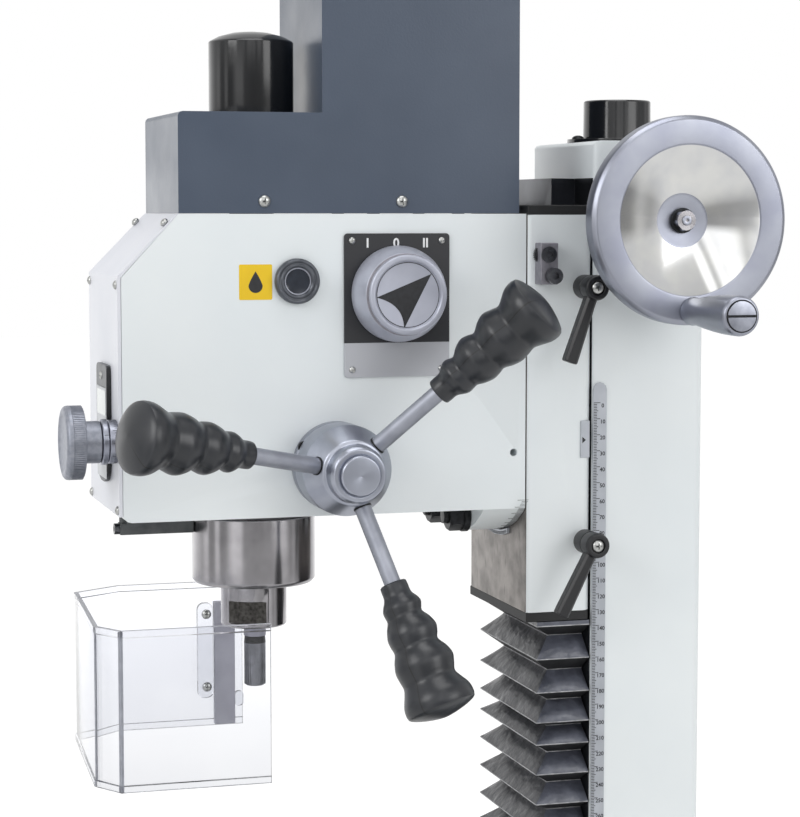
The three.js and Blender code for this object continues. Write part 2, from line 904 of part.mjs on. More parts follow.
// Leadscrew with the bevel gear at its top, and the crank shaft with its bevel pinion
const screw_group = groupAt(column, 0, screw_y, 0);
const gear_back_z = crank_z - bevel_pitch_radius - bevel_back_length;
const screw_low_z = column_foot_top_z + clearance;
let leadscrew = turned("z", [
  [0, screw_low_z],
  [screw_journal_radius, screw_low_z],
  [screw_journal_radius, bearing_top_z + clearance],
  [screw_radius, bearing_top_z + clearance],
  [screw_radius, gear_back_z + overrun],
  [screw_journal_radius, gear_back_z + overrun],
  [screw_journal_radius, column_top_z + cap_height / 3],
  [0, column_top_z + cap_height / 3],
], faces_small);
leadscrew = leadscrew.add(bevelGear(0).translate(0, 0, crank_z));
piece(screw_group, "leadscrew", leadscrew, bright_steel);
const bearing_end_x = column_half_width + crank_flange_length + crank_boss_length;
const crank_bore = boreRadius(crank_radius, faces_hidden);
piece(column, "crank_bearing", turned("x", [
  [crank_bore, cavity_x],
  [crank_bearing_bore_radius, cavity_x],
  [crank_bearing_bore_radius, column_half_width],
  [crank_flange_radius, column_half_width],
  [crank_flange_radius, column_half_width + crank_flange_length],
  [crank_boss_radius, column_half_width + crank_flange_length],
  [crank_boss_radius, bearing_end_x],
  [crank_bore, bearing_end_x],
  [crank_bore, cavity_x],
], faces_hidden, screw_y, crank_z), dark_steel);
const crank_group = groupAt(column, 0, screw_y, crank_z);
const wheel_hub_front_x = wheel_face_x - wheel_dish_depth;
const shaft_step_x = bearing_end_x + clearance;
let crank_shaft = turned("x", [
  [0, bevel_pitch_radius],
  [crank_radius, bevel_pitch_radius],
  [crank_radius, shaft_step_x],
  [crank_end_radius, shaft_step_x],
  [crank_end_radius, wheel_hub_front_x + wheel_rim / 2],
  [0, wheel_hub_front_x + wheel_rim / 2],
], faces_small);
const half_tooth = Math.PI / bevel_teeth;
crank_shaft = crank_shaft.add(bevelGear(half_tooth).rotate([0, -90, 0]));
piece(crank_group, "crank_shaft", crank_shaft, bright_steel);

// Large handwheel with its revolving handle on a bolt
const wheel_group = groupAt(crank_group, wheel_face_x, 0, 0);
let large_wheel = handwheel(
  wheel_radius, wheel_rim, wheel_dish_radius, wheel_dish_depth, wheel_hub_radius,
  wheel_hub_length - wheel_dish_depth + clearance, crank_end_radius, faces_large,
);
large_wheel = large_wheel.subtract(rod(
  "x", handle_bolt_radius + clearance, -wheel_rim - overrun, overrun, handle_offset_y, handle_offset_z,
));
piece(wheel_group, "z_handwheel", large_wheel, satin_steel);
const handle_group = groupAt(wheel_group, clearance, handle_offset_y, handle_offset_z);
piece(
  handle_group, "z_handle",
  crankHandle(handle_length, handle_neck_radius, handle_end_radius, handle_bolt_radius), satin_steel,
);
const bolt_end = handle_length + clearance * 2;
piece(wheel_group, "z_handle_bolt", turned("x", [
  [0, -wheel_rim],
  [handle_bolt_radius, -wheel_rim],
  [handle_bolt_radius, bolt_end],
  [handle_bolt_head_radius, bolt_end],
  [handle_bolt_head_radius, bolt_end + handle_bolt_head_height],
  [0, bolt_end + handle_bolt_head_height],
], faces_small, handle_offset_y, handle_offset_z), bright_steel);

// Head slide: the saddle on the dovetail with its wipers, nut, stop and scales
const head = groupAt(machine, 0, 0, scale_zero_height);
const notch = dovetail(way_half_width, way_root_half_width, way_front_y, way_root_y, way_gap);
let saddle = prism(
  "z", rectangle(-saddle_half_width, saddle_half_width, saddle_front_y, saddle_back_y, saddle_edge_radius),
  saddle_bottom_z, saddle_top_z,
);
saddle = saddle.subtract(prism("z", notch, saddle_bottom_z - overrun, saddle_top_z + overrun));
saddle = saddle.subtract(rod(
  "y", tilt_spigot_radius + clearance, saddle_front_y - overrun,
  saddle_front_y + tilt_spigot_length + clearance, 0, tilt_centre_z, faces_medium,
));
for (const [y, z] of [[upper_lever_y, upper_lever_z], [lower_lever_y, lower_lever_z]]) {
  saddle = saddle.subtract(rod(
    "x", lever_stud_radius + clearance, saddle_half_width - lever_stud_depth - overrun,
    saddle_half_width + overrun, y, z, faces_small,
  ));
}
piece(head, "saddle", saddle, ground_iron);
for (const [name, low] of [["upper_wiper", saddle_top_z], ["lower_wiper", saddle_bottom_z - wiper_height]]) {
  const plate = prism(
    "z", rectangle(-saddle_half_width, saddle_half_width, saddle_front_y, saddle_back_y), low,
    low + wiper_height,
  );
  piece(
    head, name, plate.subtract(prism("z", notch, low - overrun, low + wiper_height + overrun)),
    black_rubber,
  );
}
const nut_front_y = way_front_y - way_gap;
let z_nut = block(
  -z_nut_arm_half_width, z_nut_arm_half_width, nut_front_y, screw_y, -z_nut_arm_half_height,
  z_nut_arm_half_height,
);
z_nut = z_nut.add(rod("z", z_nut_radius, -z_nut_half_height, z_nut_half_height, 0, screw_y));
z_nut = z_nut.subtract(rod(
  "z", screw_radius + clearance, -z_nut_half_height - overrun, z_nut_half_height + overrun, 0, screw_y,
));
piece(head, "leadscrew_nut", z_nut, bronze);
let index_plate = rod(
  "y", index_plate_outer_radius, saddle_front_y - index_plate_thickness, saddle_front_y, 0, tilt_centre_z,
  faces_large,
);
index_plate = index_plate.subtract(rod(
  "y", index_plate_inner_radius, saddle_front_y - index_plate_thickness - overrun, saddle_front_y + overrun,
  0, tilt_centre_z, faces_large,
));
index_plate = index_plate.intersect(block(
  -index_plate_half_chord, index_plate_half_chord, saddle_front_y - index_plate_thickness - overrun,
  saddle_front_y + overrun, tilt_centre_z - index_plate_outer_radius - overrun, tilt_centre_z,
));
piece(head, "tilt_index_plate", index_plate, bright_steel);
piece(
  head, "stop_block",
  block(
    saddle_half_width, saddle_half_width + stop_thickness, stop_front_y, stop_back_y, stop_bottom_z,
    stop_top_z,
  ),
  dark_steel,
);
piece(
  head, "scale_pointer",
  block(
    saddle_half_width, saddle_half_width + pointer_thickness, pointer_front_y, saddle_back_y,
    pointer_bottom_z, pointer_top_z,
  ),
  bright_steel,
);

// Locking levers: a boss on a stud with a slim arm hanging from it
function lockLever(name, y, z, angle) {
  const group = groupAt(head, 0, y, z);
  let lever = turned("x", [
    [0, saddle_half_width - lever_stud_depth],
    [lever_stud_radius, saddle_half_width - lever_stud_depth],
    [lever_stud_radius, lever_boss_start_x],
    [lever_boss_radius, lever_boss_start_x],
    [lever_boss_radius, lever_boss_end_x - wheel_edge],
    [lever_boss_radius - wheel_edge, lever_boss_end_x],
    [0, lever_boss_end_x],
  ], faces_small);
  const arm = turned("y", [
    [0, 0],
    [lever_arm_root_radius, 0],
    [lever_arm_end_radius, lever_arm_length - lever_arm_end_radius],
    [lever_arm_end_radius * Math.SQRT1_2, lever_arm_length - lever_arm_end_radius * (1 - Math.SQRT1_2)],
    [0, lever_arm_length],
  ], faces_small);
  lever = lever.add(arm.rotate([angle, 0, 0]).translate(lever_arm_x, 0, 0));
  piece(group, name, lever, black_plastic);
}
lockLever("upper_lock_lever", upper_lever_y, upper_lever_z, upper_lever_angle);
lockLever("lower_lock_lever", lower_lever_y, lower_lever_z, lower_lever_angle);

// Bellows: a pleated sheet round three sides of the way, with a frame at each end
const bellows_top_z = saddle_bottom_z - wiper_height - clearance;
const bellows_bottom_z = column_foot_top_z + clearance;
const pleats = Math.max(
  2, Math.round((bellows_top_z - bellows_bottom_z - bellows_frame_height * 2) / bellows_pitch),
);
const bellowsRing = (half_width, front, z) => [
  [-half_width, bellows_back_y, z],
  [-half_width, front, z],
  [half_width, front, z],
  [half_width, bellows_back_y, z],
  [half_width - bellows_wall, bellows_back_y, z],
  [half_width - bellows_wall, front + bellows_wall, z],
  [-half_width + bellows_wall, front + bellows_wall, z],
  [-half_width + bellows_wall, bellows_back_y, z],
];
const rings = [bellowsRing(bellows_half_width, bellows_front_y, bellows_bottom_z)];
const pleat_low = bellows_bottom_z + bellows_frame_height;
const pleat_height = (bellows_top_z - bellows_bottom_z - bellows_frame_height * 2) / pleats;
for (let i = 0; i <= pleats; i++) {
  rings.push(bellowsRing(bellows_half_width, bellows_front_y, pleat_low + i * pleat_height));
  if (i < pleats) rings.push(bellowsRing(
    bellows_crease_half_width, bellows_crease_front_y, pleat_low + (i + 0.5) * pleat_height,
  ));
}
rings.push(bellowsRing(bellows_half_width, bellows_front_y, bellows_top_z));
const ring_size = rings[0].length;
const bellows_index = [];
for (let j = 0; j < rings.length - 1; j++) {
  for (let i = 0; i < ring_size; i++) {
    const next = (i + 1) % ring_size;
    const low = j * ring_size;
    const high = low + ring_size;
    bellows_index.push(low + i, low + next, high + i, low + next, high + next, high + i);
  }
}
for (const [start, order] of [[0, 1], [(rings.length - 1) * ring_size, -1]]) {
  for (let i = 0; i < ring_size / 2 - 1; i++) {
    const [a, b, c, d] = [start + i, start + i + 1, start + ring_size - 2 - i, start + ring_size - 1 - i];
    if (order > 0) bellows_index.push(a, c, b, a, d, c);
    else bellows_index.push(a, b, c, a, c, d);
  }
}
const bellows_geometry = new THREE.BufferGeometry();
bellows_geometry.setAttribute("position", new THREE.Float32BufferAttribute(rings.flat(2), 3));
bellows_geometry.setIndex(bellows_index);
piece(head, "bellows", solid(bellows_geometry), black_rubber);

// Tilting head: the casting with its bores and pockets
const tilt = groupAt(head, 0, 0, 0);
let casting = prism("x", outline([
  [head_chamfer_y, head_top_z],
  [head_front_y, head_chamfer_z],
  [head_front_y, head_bottom_z, head_edge_radius],
  [head_back_y, head_bottom_z],
  [head_back_y, head_top_z],
]), -head_half_width, head_half_width);
const flange_disc = rod(
  "y", tilt_flange_radius, tilt_flange_front_y, head_back_y, 0, tilt_centre_z, faces_large,
);
casting = casting.add(flange_disc.intersect(block(
  -head_half_width, head_half_width, head_front_y, head_back_y,
  tilt_centre_z - tilt_flange_radius - overrun, tilt_centre_z,
)));
casting = casting.add(rod(
  "y", tilt_spigot_radius, head_back_y - overrun, head_back_y + tilt_spigot_length, 0, tilt_centre_z,
  faces_medium,
));
const quill_bore = quill_radius + clearance;
casting = casting.subtract(rod(
  "z", quill_bore, head_bottom_z - overrun, quill_bore_top_z, 0, 0, faces_large,
));
casting = casting.subtract(rod(
  "z", boreRadius(sleeve_radius, faces_hidden), quill_bore_top_z - overrun, head_top_z + overrun, 0, 0,
  faces_hidden,
));
const channel_back_y = head_front_y + front_channel_depth;
casting = casting.subtract(block(
  -front_channel_half_width, front_channel_half_width, head_front_y - overrun, channel_back_y,
  head_bottom_z - overrun, head_top_z + overrun,
));
for (const [front, back] of [[channel_back_y + pocket_wall, front_pocket_back_y], [rear_pocket_front_y, rear_pocket_back_y]]) {
  casting = casting.subtract(block(
    -pocket_half_width, pocket_half_width, front, back, pocket_floor_z, head_top_z + overrun,
  ));
}
const pinion_pitch_radius = (gear_module * pinion_teeth) / 2;
const pinion_bore = pinion_pitch_radius + gear_module + clearance * 2;
const wheel_pitch_radius = worm_z - feed_z - worm_pitch_radius;
const wheel_module = (2 * wheel_pitch_radius) / worm_wheel_teeth;
const wheel_chamber = wheel_pitch_radius + wheel_module + clearance * 2;
const wheel_side = worm_wheel_width / 2 + clearance;
casting = casting.subtract(rod(
  "x", pinion_bore, feed_shaft_inner_x - clearance, head_half_width + overrun, feed_y, feed_z, faces_medium,
));
casting = casting.subtract(rod(
  "x", wheel_chamber, worm_x - wheel_side, head_half_width + overrun, feed_y, feed_z, faces_medium,
));
const worm_bore = worm_pitch_radius + wheel_module + clearance * 2;
const worm_end_y = feed_y + worm_half_length + pocket_wall * 2;
casting = casting.subtract(rod(
  "y", worm_bore, head_front_y - overrun, feed_y + worm_half_length + clearance, worm_x, worm_z,
));
casting = casting.subtract(rod(
  "y", worm_shaft_radius + clearance, feed_y, worm_end_y + clearance, worm_x, worm_z,
));
casting = casting.subtract(rod(
  "x", side_hole_radius, head_half_width - side_hole_depth, head_half_width + overrun, side_hole_y,
  side_hole_z,
));
casting = casting.subtract(rod(
  "x", speed_knob_shaft_radius + clearance, pocket_half_width - overrun, head_half_width + overrun,
  speed_knob_y, speed_knob_z,
));
piece(tilt, "head_casting", casting, white_paint);

// Bent front panel over the casting, with the depth display on it
const panel_y = head_front_y - panel_gap;
const panel_z = head_top_z + panel_gap;
let panel = prism("x", bentSheet([
  [head_chamfer_y + panel_lip, panel_z],
  [head_chamfer_y, panel_z],
  [panel_y, head_chamfer_z],
  [panel_y, panel_bottom_z],
], -panel_thickness), -head_half_width, head_half_width);
panel = panel.subtract(rod(
  "y", worm_shaft_radius + clearance, panel_y - panel_thickness - overrun, panel_y + overrun, worm_x,
  worm_z,
));
piece(tilt, "front_panel", panel, white_paint);
const panel_face_y = panel_y - panel_thickness;
let display = prism("y", outline([
  [display_left_x, display_bottom_z, display_low_radius],
  [display_right_x, display_bottom_z, display_low_radius],
  [display_right_x, display_top_z, display_top_radius],
  [display_left_x, display_top_z, display_top_radius],
]), panel_face_y - display_thickness, panel_face_y);
display = display.subtract(block(
  display_left_x + display_window_margin, display_right_x - display_window_margin,
  panel_face_y - display_thickness - overrun, panel_face_y - display_thickness + display_window_depth,
  display_window_low_z, display_window_top_z,
));
piece(tilt, "depth_display", display, grey_plastic);

// Motor cover: an L shaped hood, low over the spindle and tall over the motor
const hood = (grow, low) => outline([
  [cover_low_front_y - grow, low],
  [cover_back_y + grow, low],
  [cover_back_y + grow, cover_tall_top_z + grow, cover_edge_radius],
  [cover_step_y - grow, cover_tall_top_z + grow, cover_edge_radius],
  [cover_step_y - grow, cover_low_top_z + grow],
  [cover_low_front_y - grow, cover_low_top_z + grow, cover_edge_radius],
]);
const cover_bottom_z = panel_z + panel_thickness + clearance;
let motor_cover = prism("x", hood(0, cover_bottom_z), -head_half_width, head_half_width);
const inner_half = head_half_width - cover_wall;
motor_cover = motor_cover.subtract(prism(
  "x", hood(-cover_wall, cover_bottom_z - overrun), -inner_half, inner_half,
));
motor_cover = motor_cover.subtract(rod(
  "z", cover_hole_radius, cover_low_top_z - cover_wall - overrun, cover_low_top_z + overrun, 0, 0,
  faces_medium,
));
piece(tilt, "motor_cover", motor_cover, slate_paint);
const cap_inner = drawbar_cap_radius - drawbar_cap_wall;
piece(tilt, "drawbar_cap", turned("z", [
  [cap_inner, cover_low_top_z],
  [drawbar_cap_radius, cover_low_top_z],
  [drawbar_cap_radius, drawbar_cap_top_z - drawbar_cap_shoulder],
  [drawbar_cap_radius - drawbar_cap_shoulder / 2, drawbar_cap_top_z - drawbar_cap_shoulder / 4],
  [drawbar_cap_radius / 2, drawbar_cap_top_z],
  [0, drawbar_cap_top_z],
  [0, drawbar_cap_top_z - drawbar_cap_wall],
  [cap_inner, drawbar_cap_top_z - drawbar_cap_shoulder - drawbar_cap_wall],
  [cap_inner, cover_low_top_z],
], faces_medium), black_plastic);

// Motor on four feet, and the belt drive under the hood
const foot_bottom_z = head_top_z;
const plate_low_z = motor_bottom_z - motor_plate_thickness;
let motor = rod(
  "z", motor_radius, motor_bottom_z - overrun, motor_bottom_z + motor_length, 0, motor_y, faces_medium,
);
motor = motor.add(prism(
  "z",
  rectangle(
    -motor_foot_offset_x - motor_foot_radius, motor_foot_offset_x + motor_foot_radius,
    motor_y - motor_foot_offset_y - motor_foot_radius, motor_y + motor_foot_offset_y + motor_foot_radius,
    motor_foot_radius - weld,
  ),
  plate_low_z, motor_bottom_z,
));
for (const side of [-1, 1]) {
  for (const end of [-1, 1]) {
    motor = motor.add(rod(
      "z", motor_foot_radius, foot_bottom_z, plate_low_z + overrun, side * motor_foot_offset_x,
      motor_y + end * motor_foot_offset_y, faces_hidden,
    ));
  }
}
motor = motor.subtract(rod(
  "z", motor_shaft_radius + clearance, plate_low_z - overrun, motor_bottom_z + motor_plate_thickness, 0,
  motor_y,
));
piece(tilt, "motor", motor, dark_steel);
const pulley_top_z = pulley_bottom_z + pulley_width;
const belt_low_z = pulley_bottom_z + (pulley_width - belt_width) / 2;
const belt_top_z = belt_low_z + belt_width;
const pulleyProfile = (radius) => [
  [radius + pulley_flange, pulley_bottom_z],
  [radius + pulley_flange, belt_low_z - clearance],
  [radius, belt_low_z - clearance],
  [radius, belt_top_z + clearance],
  [radius + pulley_flange, belt_top_z + clearance],
  [radius + pulley_flange, pulley_top_z],
];
const motor_pulley_group = groupAt(tilt, 0, motor_y, 0);
piece(motor_pulley_group, "motor_pulley", turned("z", [
  [0, pulley_bottom_z],
  ...pulleyProfile(motor_pulley_radius),
  [motor_shaft_radius, pulley_top_z],
  [motor_shaft_radius, motor_bottom_z],
  [0, motor_bottom_z],
], faces_hidden), satin_steel);
const sleeve_bore = boreRadius(spindle_shank_radius, faces_hidden);
const sleeve_low_z = quill_bore_top_z;
piece(tilt, "drive_sleeve", turned("z", [
  [sleeve_bore, sleeve_low_z],
  [sleeve_radius, sleeve_low_z],
  [sleeve_radius, pulley_bottom_z],
  ...pulleyProfile(spindle_pulley_radius),
  [sleeve_radius, pulley_top_z],
  [sleeve_radius, cover_low_top_z - cover_wall * 2],
  [sleeve_bore, cover_low_top_z - cover_wall * 2],
  [sleeve_bore, sleeve_low_z],
], faces_hidden), satin_steel);
const belt_lean = Math.asin((spindle_pulley_radius - motor_pulley_radius) / motor_y);
function beltLoop(extra) {
  const points = [];
  const runs = [
    [0, spindle_pulley_radius + extra, Math.PI - belt_lean, 2 * Math.PI + belt_lean],
    [motor_y, motor_pulley_radius + extra, belt_lean, Math.PI - belt_lean],
  ];
  for (const [centre, radius, first, last] of runs) {
    for (let i = 0; i <= faces_hidden; i++) {
      const angle = first + ((last - first) * i) / faces_hidden;
      points.push(new THREE.Vector2(radius * Math.cos(angle), centre + radius * Math.sin(angle)));
    }
  }
  return new THREE.Shape(points);
}
const belt_gap = clearance * 3;
let belt = prism("z", beltLoop(belt_gap + belt_thickness), belt_low_z, belt_top_z);
belt = belt.subtract(prism("z", beltLoop(belt_gap), belt_low_z - overrun, belt_top_z + overrun));
piece(tilt, "drive_belt", belt, black_rubber);

// Plate, knob and sight plug on the side of the head
const side_x = head_half_width;
let speed_plate = block(
  side_x, side_x + plate_thickness, plate_front_y, plate_back_y, plate_bottom_z, plate_top_z,
);
speed_plate = speed_plate.subtract(rod(
  "x", speed_knob_shaft_radius + clearance, side_x - overrun, side_x + plate_thickness + overrun,
  speed_knob_y, speed_knob_z,
));
piece(tilt, "speed_plate", speed_plate, black_plastic);
const knob_group = groupAt(tilt, 0, speed_knob_y, speed_knob_z);
const knob_low_x = side_x + plate_thickness + clearance;
const knob_top_x = side_x + plate_thickness + speed_knob_height;
piece(knob_group, "speed_knob", turned("x", [
  [0, pocket_half_width - pocket_wall],
  [speed_knob_shaft_radius, pocket_half_width - pocket_wall],
  [speed_knob_shaft_radius, knob_low_x],
  [speed_knob_base_radius, knob_low_x],
  [speed_knob_base_radius, knob_low_x + speed_knob_skirt],
  [speed_knob_rim_radius, knob_top_x],
  [speed_knob_face_radius, knob_top_x],
  [speed_knob_face_radius - wheel_edge, knob_top_x - speed_knob_dish],
  [0, knob_top_x - speed_knob_dish],
], faces_medium), silver_plastic);
piece(tilt, "sight_plug", turned("x", [
  [0, side_x],
  [plug_radius, side_x],
  [plug_radius, side_x + plug_thickness - overrun],
  [plug_radius - overrun, side_x + plug_thickness],
  [plug_window_radius, side_x + plug_thickness],
  [plug_window_radius, side_x + plug_thickness - plug_window_depth],
  [0, side_x + plug_thickness - plug_window_depth],
], faces_medium, plug_y, plug_z), black_plastic);

// Feed shaft with its pinion, and the worm wheel on it
const feed = groupAt(tilt, 0, feed_y, feed_z);
const feed_flange_x = side_x + flange_thickness;
let pinion_shaft = rod("x", feed_shaft_radius, feed_shaft_inner_x, hub_cone_x, 0, 0);
pinion_shaft = pinion_shaft.add(prism(
  "x", gearOutline(pinion_teeth, gear_module, tooth_share), -pinion_half_width, pinion_half_width,
));
piece(feed, "pinion_shaft", pinion_shaft, bright_steel);
const wheel_low_x = worm_x - worm_wheel_width / 2;
let worm_wheel = prism(
  "x", gearOutline(worm_wheel_teeth, wheel_module, tooth_share), wheel_low_x,
  wheel_low_x + worm_wheel_width,
);
worm_wheel = worm_wheel.subtract(rod(
  "x", feed_shaft_radius + clearance, wheel_low_x - overrun, wheel_low_x + worm_wheel_width + overrun, 0, 0,
));
worm_wheel = worm_wheel.rotate([90, 0, 0]);
piece(feed, "worm_wheel", worm_wheel, bronze);
piece(tilt, "feed_flange", turned("x", [
  [feed_shaft_radius + clearance, side_x],
  [flange_radius, side_x],
  [flange_radius, feed_flange_x],
  [feed_shaft_radius + clearance, feed_flange_x],
  [feed_shaft_radius + clearance, side_x],
], faces_medium, feed_y, feed_z), satin_steel);

// Feed hub with three rods screwed into it, and a tapered ribbed grip on each
const arm_lean = THREE.MathUtils.degToRad(arm_tilt);
const armDirection = (angle_from_y) => {
  const angle = THREE.MathUtils.degToRad(angle_from_y);
  return new THREE.Vector3(
    Math.sin(arm_lean), Math.cos(arm_lean) * Math.cos(angle), Math.cos(arm_lean) * Math.sin(angle),
  );
};
const armRoot = (angle_from_y) => {
  const angle = THREE.MathUtils.degToRad(angle_from_y);
  return new THREE.Vector3(
    arm_root_x, arm_root_radius_from_axis * Math.cos(angle), arm_root_radius_from_axis * Math.sin(angle),
  );
};
let feed_hub = turned("x", [
  [0, feed_flange_x + clearance],
  [hub_radius, feed_flange_x + clearance],
  [hub_radius, hub_straight_x],
  [hub_radius - hub_edge / 2, hub_straight_x + hub_edge],
  [hub_cone_radius + hub_edge / 2, hub_cone_x - hub_edge / 2],
  [hub_cone_radius, hub_cone_x],
  [hub_boss_radius, hub_cone_x],
  [hub_boss_end_radius, hub_boss_x],
  [hub_disc_radius, hub_boss_x],
  [hub_disc_radius, hub_disc_x],
  [0, hub_disc_x],
], faces_medium);
for (const angle of arm_angles_from_y) {
  const turn = new THREE.Quaternion().setFromUnitVectors(new THREE.Vector3(0, 1, 0), armDirection(angle));
  const root = armRoot(angle);
  const arm = new THREE.CylinderGeometry(arm_radius, arm_radius, grip_start + grip_bore_depth, faces_small);
  arm.translate(0, (grip_start + grip_bore_depth) / 2, 0);
  arm.applyQuaternion(turn);
  arm.translate(root.x, root.y, root.z);
  feed_hub = feed_hub.add(solid(arm));
}
feed_hub = feed_hub.subtract(rod(
  "x", feed_shaft_radius + clearance, feed_flange_x, hub_cone_x + clearance, 0, 0,
));
piece(feed, "feed_hub", feed_hub, satin_steel);
const grip_bore = arm_radius + clearance;
const ring_shares = [0, 0.33, 0.55, 0.75];
const waist_share = 0.9;
const swell_low_share = 0.45;
const end_share = 0.94;
const dome_share = 0.8;
const gripProfile = [[grip_bore, 0], [grip_start_radius, 0]];
for (let i = 0; i < ring_shares.length; i++) {
  const low_share = ring_shares[i];
  const high_share = i + 1 < ring_shares.length ? ring_shares[i + 1] : 1;
  const radiusAt = (share) => grip_start_radius + (grip_end_radius - grip_start_radius) * share;
  const swell = radiusAt((low_share + high_share) / 2);
  const waist = radiusAt(high_share) * waist_share;
  gripProfile.push([
    swell, grip_length * (low_share * swell_low_share + high_share * (1 - swell_low_share)),
  ]);
  if (i + 1 < ring_shares.length) gripProfile.push([waist, grip_length * high_share]);
}
gripProfile.push(
  [grip_end_radius, grip_length * end_share], [grip_end_radius * end_share, grip_length],
  [grip_end_radius / 2, grip_length + grip_dome * dome_share],
);
gripProfile.push(
  [0, grip_length + grip_dome], [0, grip_bore_depth + clearance], [grip_bore, grip_bore_depth + clearance],
  [grip_bore, 0],
);
arm_angles_from_y.forEach((angle, i) => {
  const grip = piece(feed, "feed_grip_" + (i + 1), turned("y", gripProfile, faces_small), black_rubber);
  grip.position.copy(armRoot(angle)).addScaledVector(armDirection(angle), grip_start);
  grip.quaternion.setFromUnitVectors(new THREE.Vector3(0, 1, 0), armDirection(angle));
});

// Fine feed: the worm shaft under its knurled knob, dial and seat
const fine = groupAt(tilt, worm_x, 0, worm_z);
const worm_lead = Math.PI * wheel_module;
let worm_shaft = wormSolid(
  worm_pitch_radius, wheel_module, wheel_module * worm_root_share, worm_lead, worm_half_length,
).translate(0, feed_y, 0);
worm_shaft = worm_shaft.add(rod(
  "y", worm_shaft_radius, fine_knob_back_y - fine_knob_dish, worm_end_y, 0, 0,
));
piece(fine, "worm_shaft", worm_shaft, bright_steel);
const shaft_bore = worm_shaft_radius + clearance;
piece(fine, "fine_feed_knob", turned("y", [
  [0, fine_knob_front_y + fine_knob_dish],
  [fine_knob_radius - fine_knob_chamfer * 2, fine_knob_front_y + fine_knob_dish],
  [fine_knob_radius - fine_knob_chamfer - fine_knob_dish, fine_knob_front_y],
  [fine_knob_radius - fine_knob_chamfer, fine_knob_front_y],
  [fine_knob_radius, fine_knob_front_y + fine_knob_chamfer],
  [fine_knob_radius, fine_knob_back_y - overrun],
  [fine_knob_radius - overrun, fine_knob_back_y],
  [fine_neck_radius, fine_knob_back_y],
  [fine_neck_radius, fine_neck_end_y],
  [shaft_bore, fine_neck_end_y],
  [shaft_bore, fine_knob_back_y - fine_knob_dish - clearance],
  [0, fine_knob_back_y - fine_knob_dish - clearance],
], faces_medium), satin_steel);
const ring = (from, to) => turned(
  "y",
  [
    [shaft_bore, from], [fine_neck_radius, from], [fine_neck_radius, to], [shaft_bore, to],
    [shaft_bore, from],
  ],
  faces_medium,
);
piece(fine, "fine_feed_dial", ring(fine_neck_end_y, fine_dial_end_y - clearance), satin_steel);
piece(fine, "fine_feed_seat", ring(fine_dial_end_y, panel_face_y), satin_steel);

// Quill with its rack, the depth stop arm and the spindle with its drawbar
let quill = turned("z", [
  [quill_bore_radius, collar_bottom_z],
  [collar_radius - collar_chamfer, collar_bottom_z],
  [collar_radius, collar_bottom_z + collar_chamfer],
  [collar_radius, collar_top_z],
  [quill_radius, collar_top_z],
  [quill_radius, quill_top_z],
  [quill_bore_radius, quill_top_z],
  [quill_bore_radius, collar_bottom_z],
], faces_large);
const rack_bottom_z = feed_z - rack_margin;
const rack_top_z = feed_z + quill_travel + rack_margin;
const rack_pitch_y = feed_y - pinion_pitch_radius;
const rack_root_y = rack_pitch_y - gear_module * 1.25;
const rack_tip_y = rack_pitch_y + gear_module;
const rack_pitch = Math.PI * gear_module;
quill = quill.subtract(block(
  -pinion_half_width - clearance, pinion_half_width + clearance, rack_root_y, quill_radius + overrun,
  rack_bottom_z, rack_top_z,
));
const lean_tip = Math.tan(THREE.MathUtils.degToRad(pressure_angle)) * gear_module;
const half_tooth_width = (rack_pitch * tooth_share) / 2;
const first_tooth = Math.ceil((rack_bottom_z - feed_z) / rack_pitch);
const last_tooth = Math.floor((rack_top_z - feed_z) / rack_pitch);
const quill_body = rod(
  "z", quill_radius, rack_bottom_z - overrun, rack_top_z + overrun, 0, 0, faces_medium,
);
for (let i = first_tooth; i < last_tooth; i++) {
  const middle = feed_z + (i + 0.5) * rack_pitch;
  const tooth = prism("x", outline([
    [rack_root_y - overrun, middle - half_tooth_width - lean_tip],
    [rack_tip_y, middle - half_tooth_width + lean_tip],
    [rack_tip_y, middle + half_tooth_width - lean_tip],
    [rack_root_y - overrun, middle + half_tooth_width + lean_tip],
  ]), -rack_half_width, rack_half_width);
  quill = quill.add(tooth.intersect(quill_body));
}
piece(tilt, "quill", quill, satin_steel);
let depth_arm = block(
  -depth_arm_half_width, depth_arm_half_width, depth_arm_end_y, -collar_radius - clearance,
  depth_arm_bottom_z, depth_arm_top_z,
);
depth_arm = depth_arm.add(rod("z", depth_rod_radius, depth_arm_bottom_z, depth_rod_top_z, 0, depth_rod_y));
piece(tilt, "depth_stop", depth_arm, dark_steel);
const shank_bore = drawbar_radius + clearance;
let spindle = turned("z", [
  [taper_mouth_radius, nose_bottom_z],
  [nose_radius - overrun, nose_bottom_z],
  [nose_radius, nose_bottom_z + overrun],
  [nose_radius, collar_bottom_z - clearance],
  [spindle_radius, collar_bottom_z - clearance],
  [spindle_radius, spindle_shoulder_z],
  [spindle_shank_radius, spindle_shoulder_z],
  [spindle_shank_radius, spindle_top_z],
  [shank_bore, spindle_top_z],
  [shank_bore, nose_bottom_z + taper_depth],
  [taper_end_radius, nose_bottom_z + taper_depth],
  [taper_mouth_radius, nose_bottom_z],
], faces_medium);
const flat_block = block(
  flat_across / 2, nose_radius * 2, -nose_radius * 2, nose_radius * 2, flat_bottom_z, flat_top_z,
);
for (const half_turn of [0, 180]) {
  spindle = spindle.subtract(flat_block.rotate([0, 0, flat_angle + half_turn]));
}
piece(tilt, "spindle", spindle, bright_steel);
piece(tilt, "drawbar", turned("z", [
  [0, nose_bottom_z + taper_depth - overrun],
  [drawbar_radius, nose_bottom_z + taper_depth - overrun],
  [drawbar_radius, spindle_top_z],
  [drawbar_head_radius, spindle_top_z],
  [drawbar_head_radius, spindle_top_z + drawbar_head_height],
  [0, spindle_top_z + drawbar_head_height],
], faces_small), dark_steel);

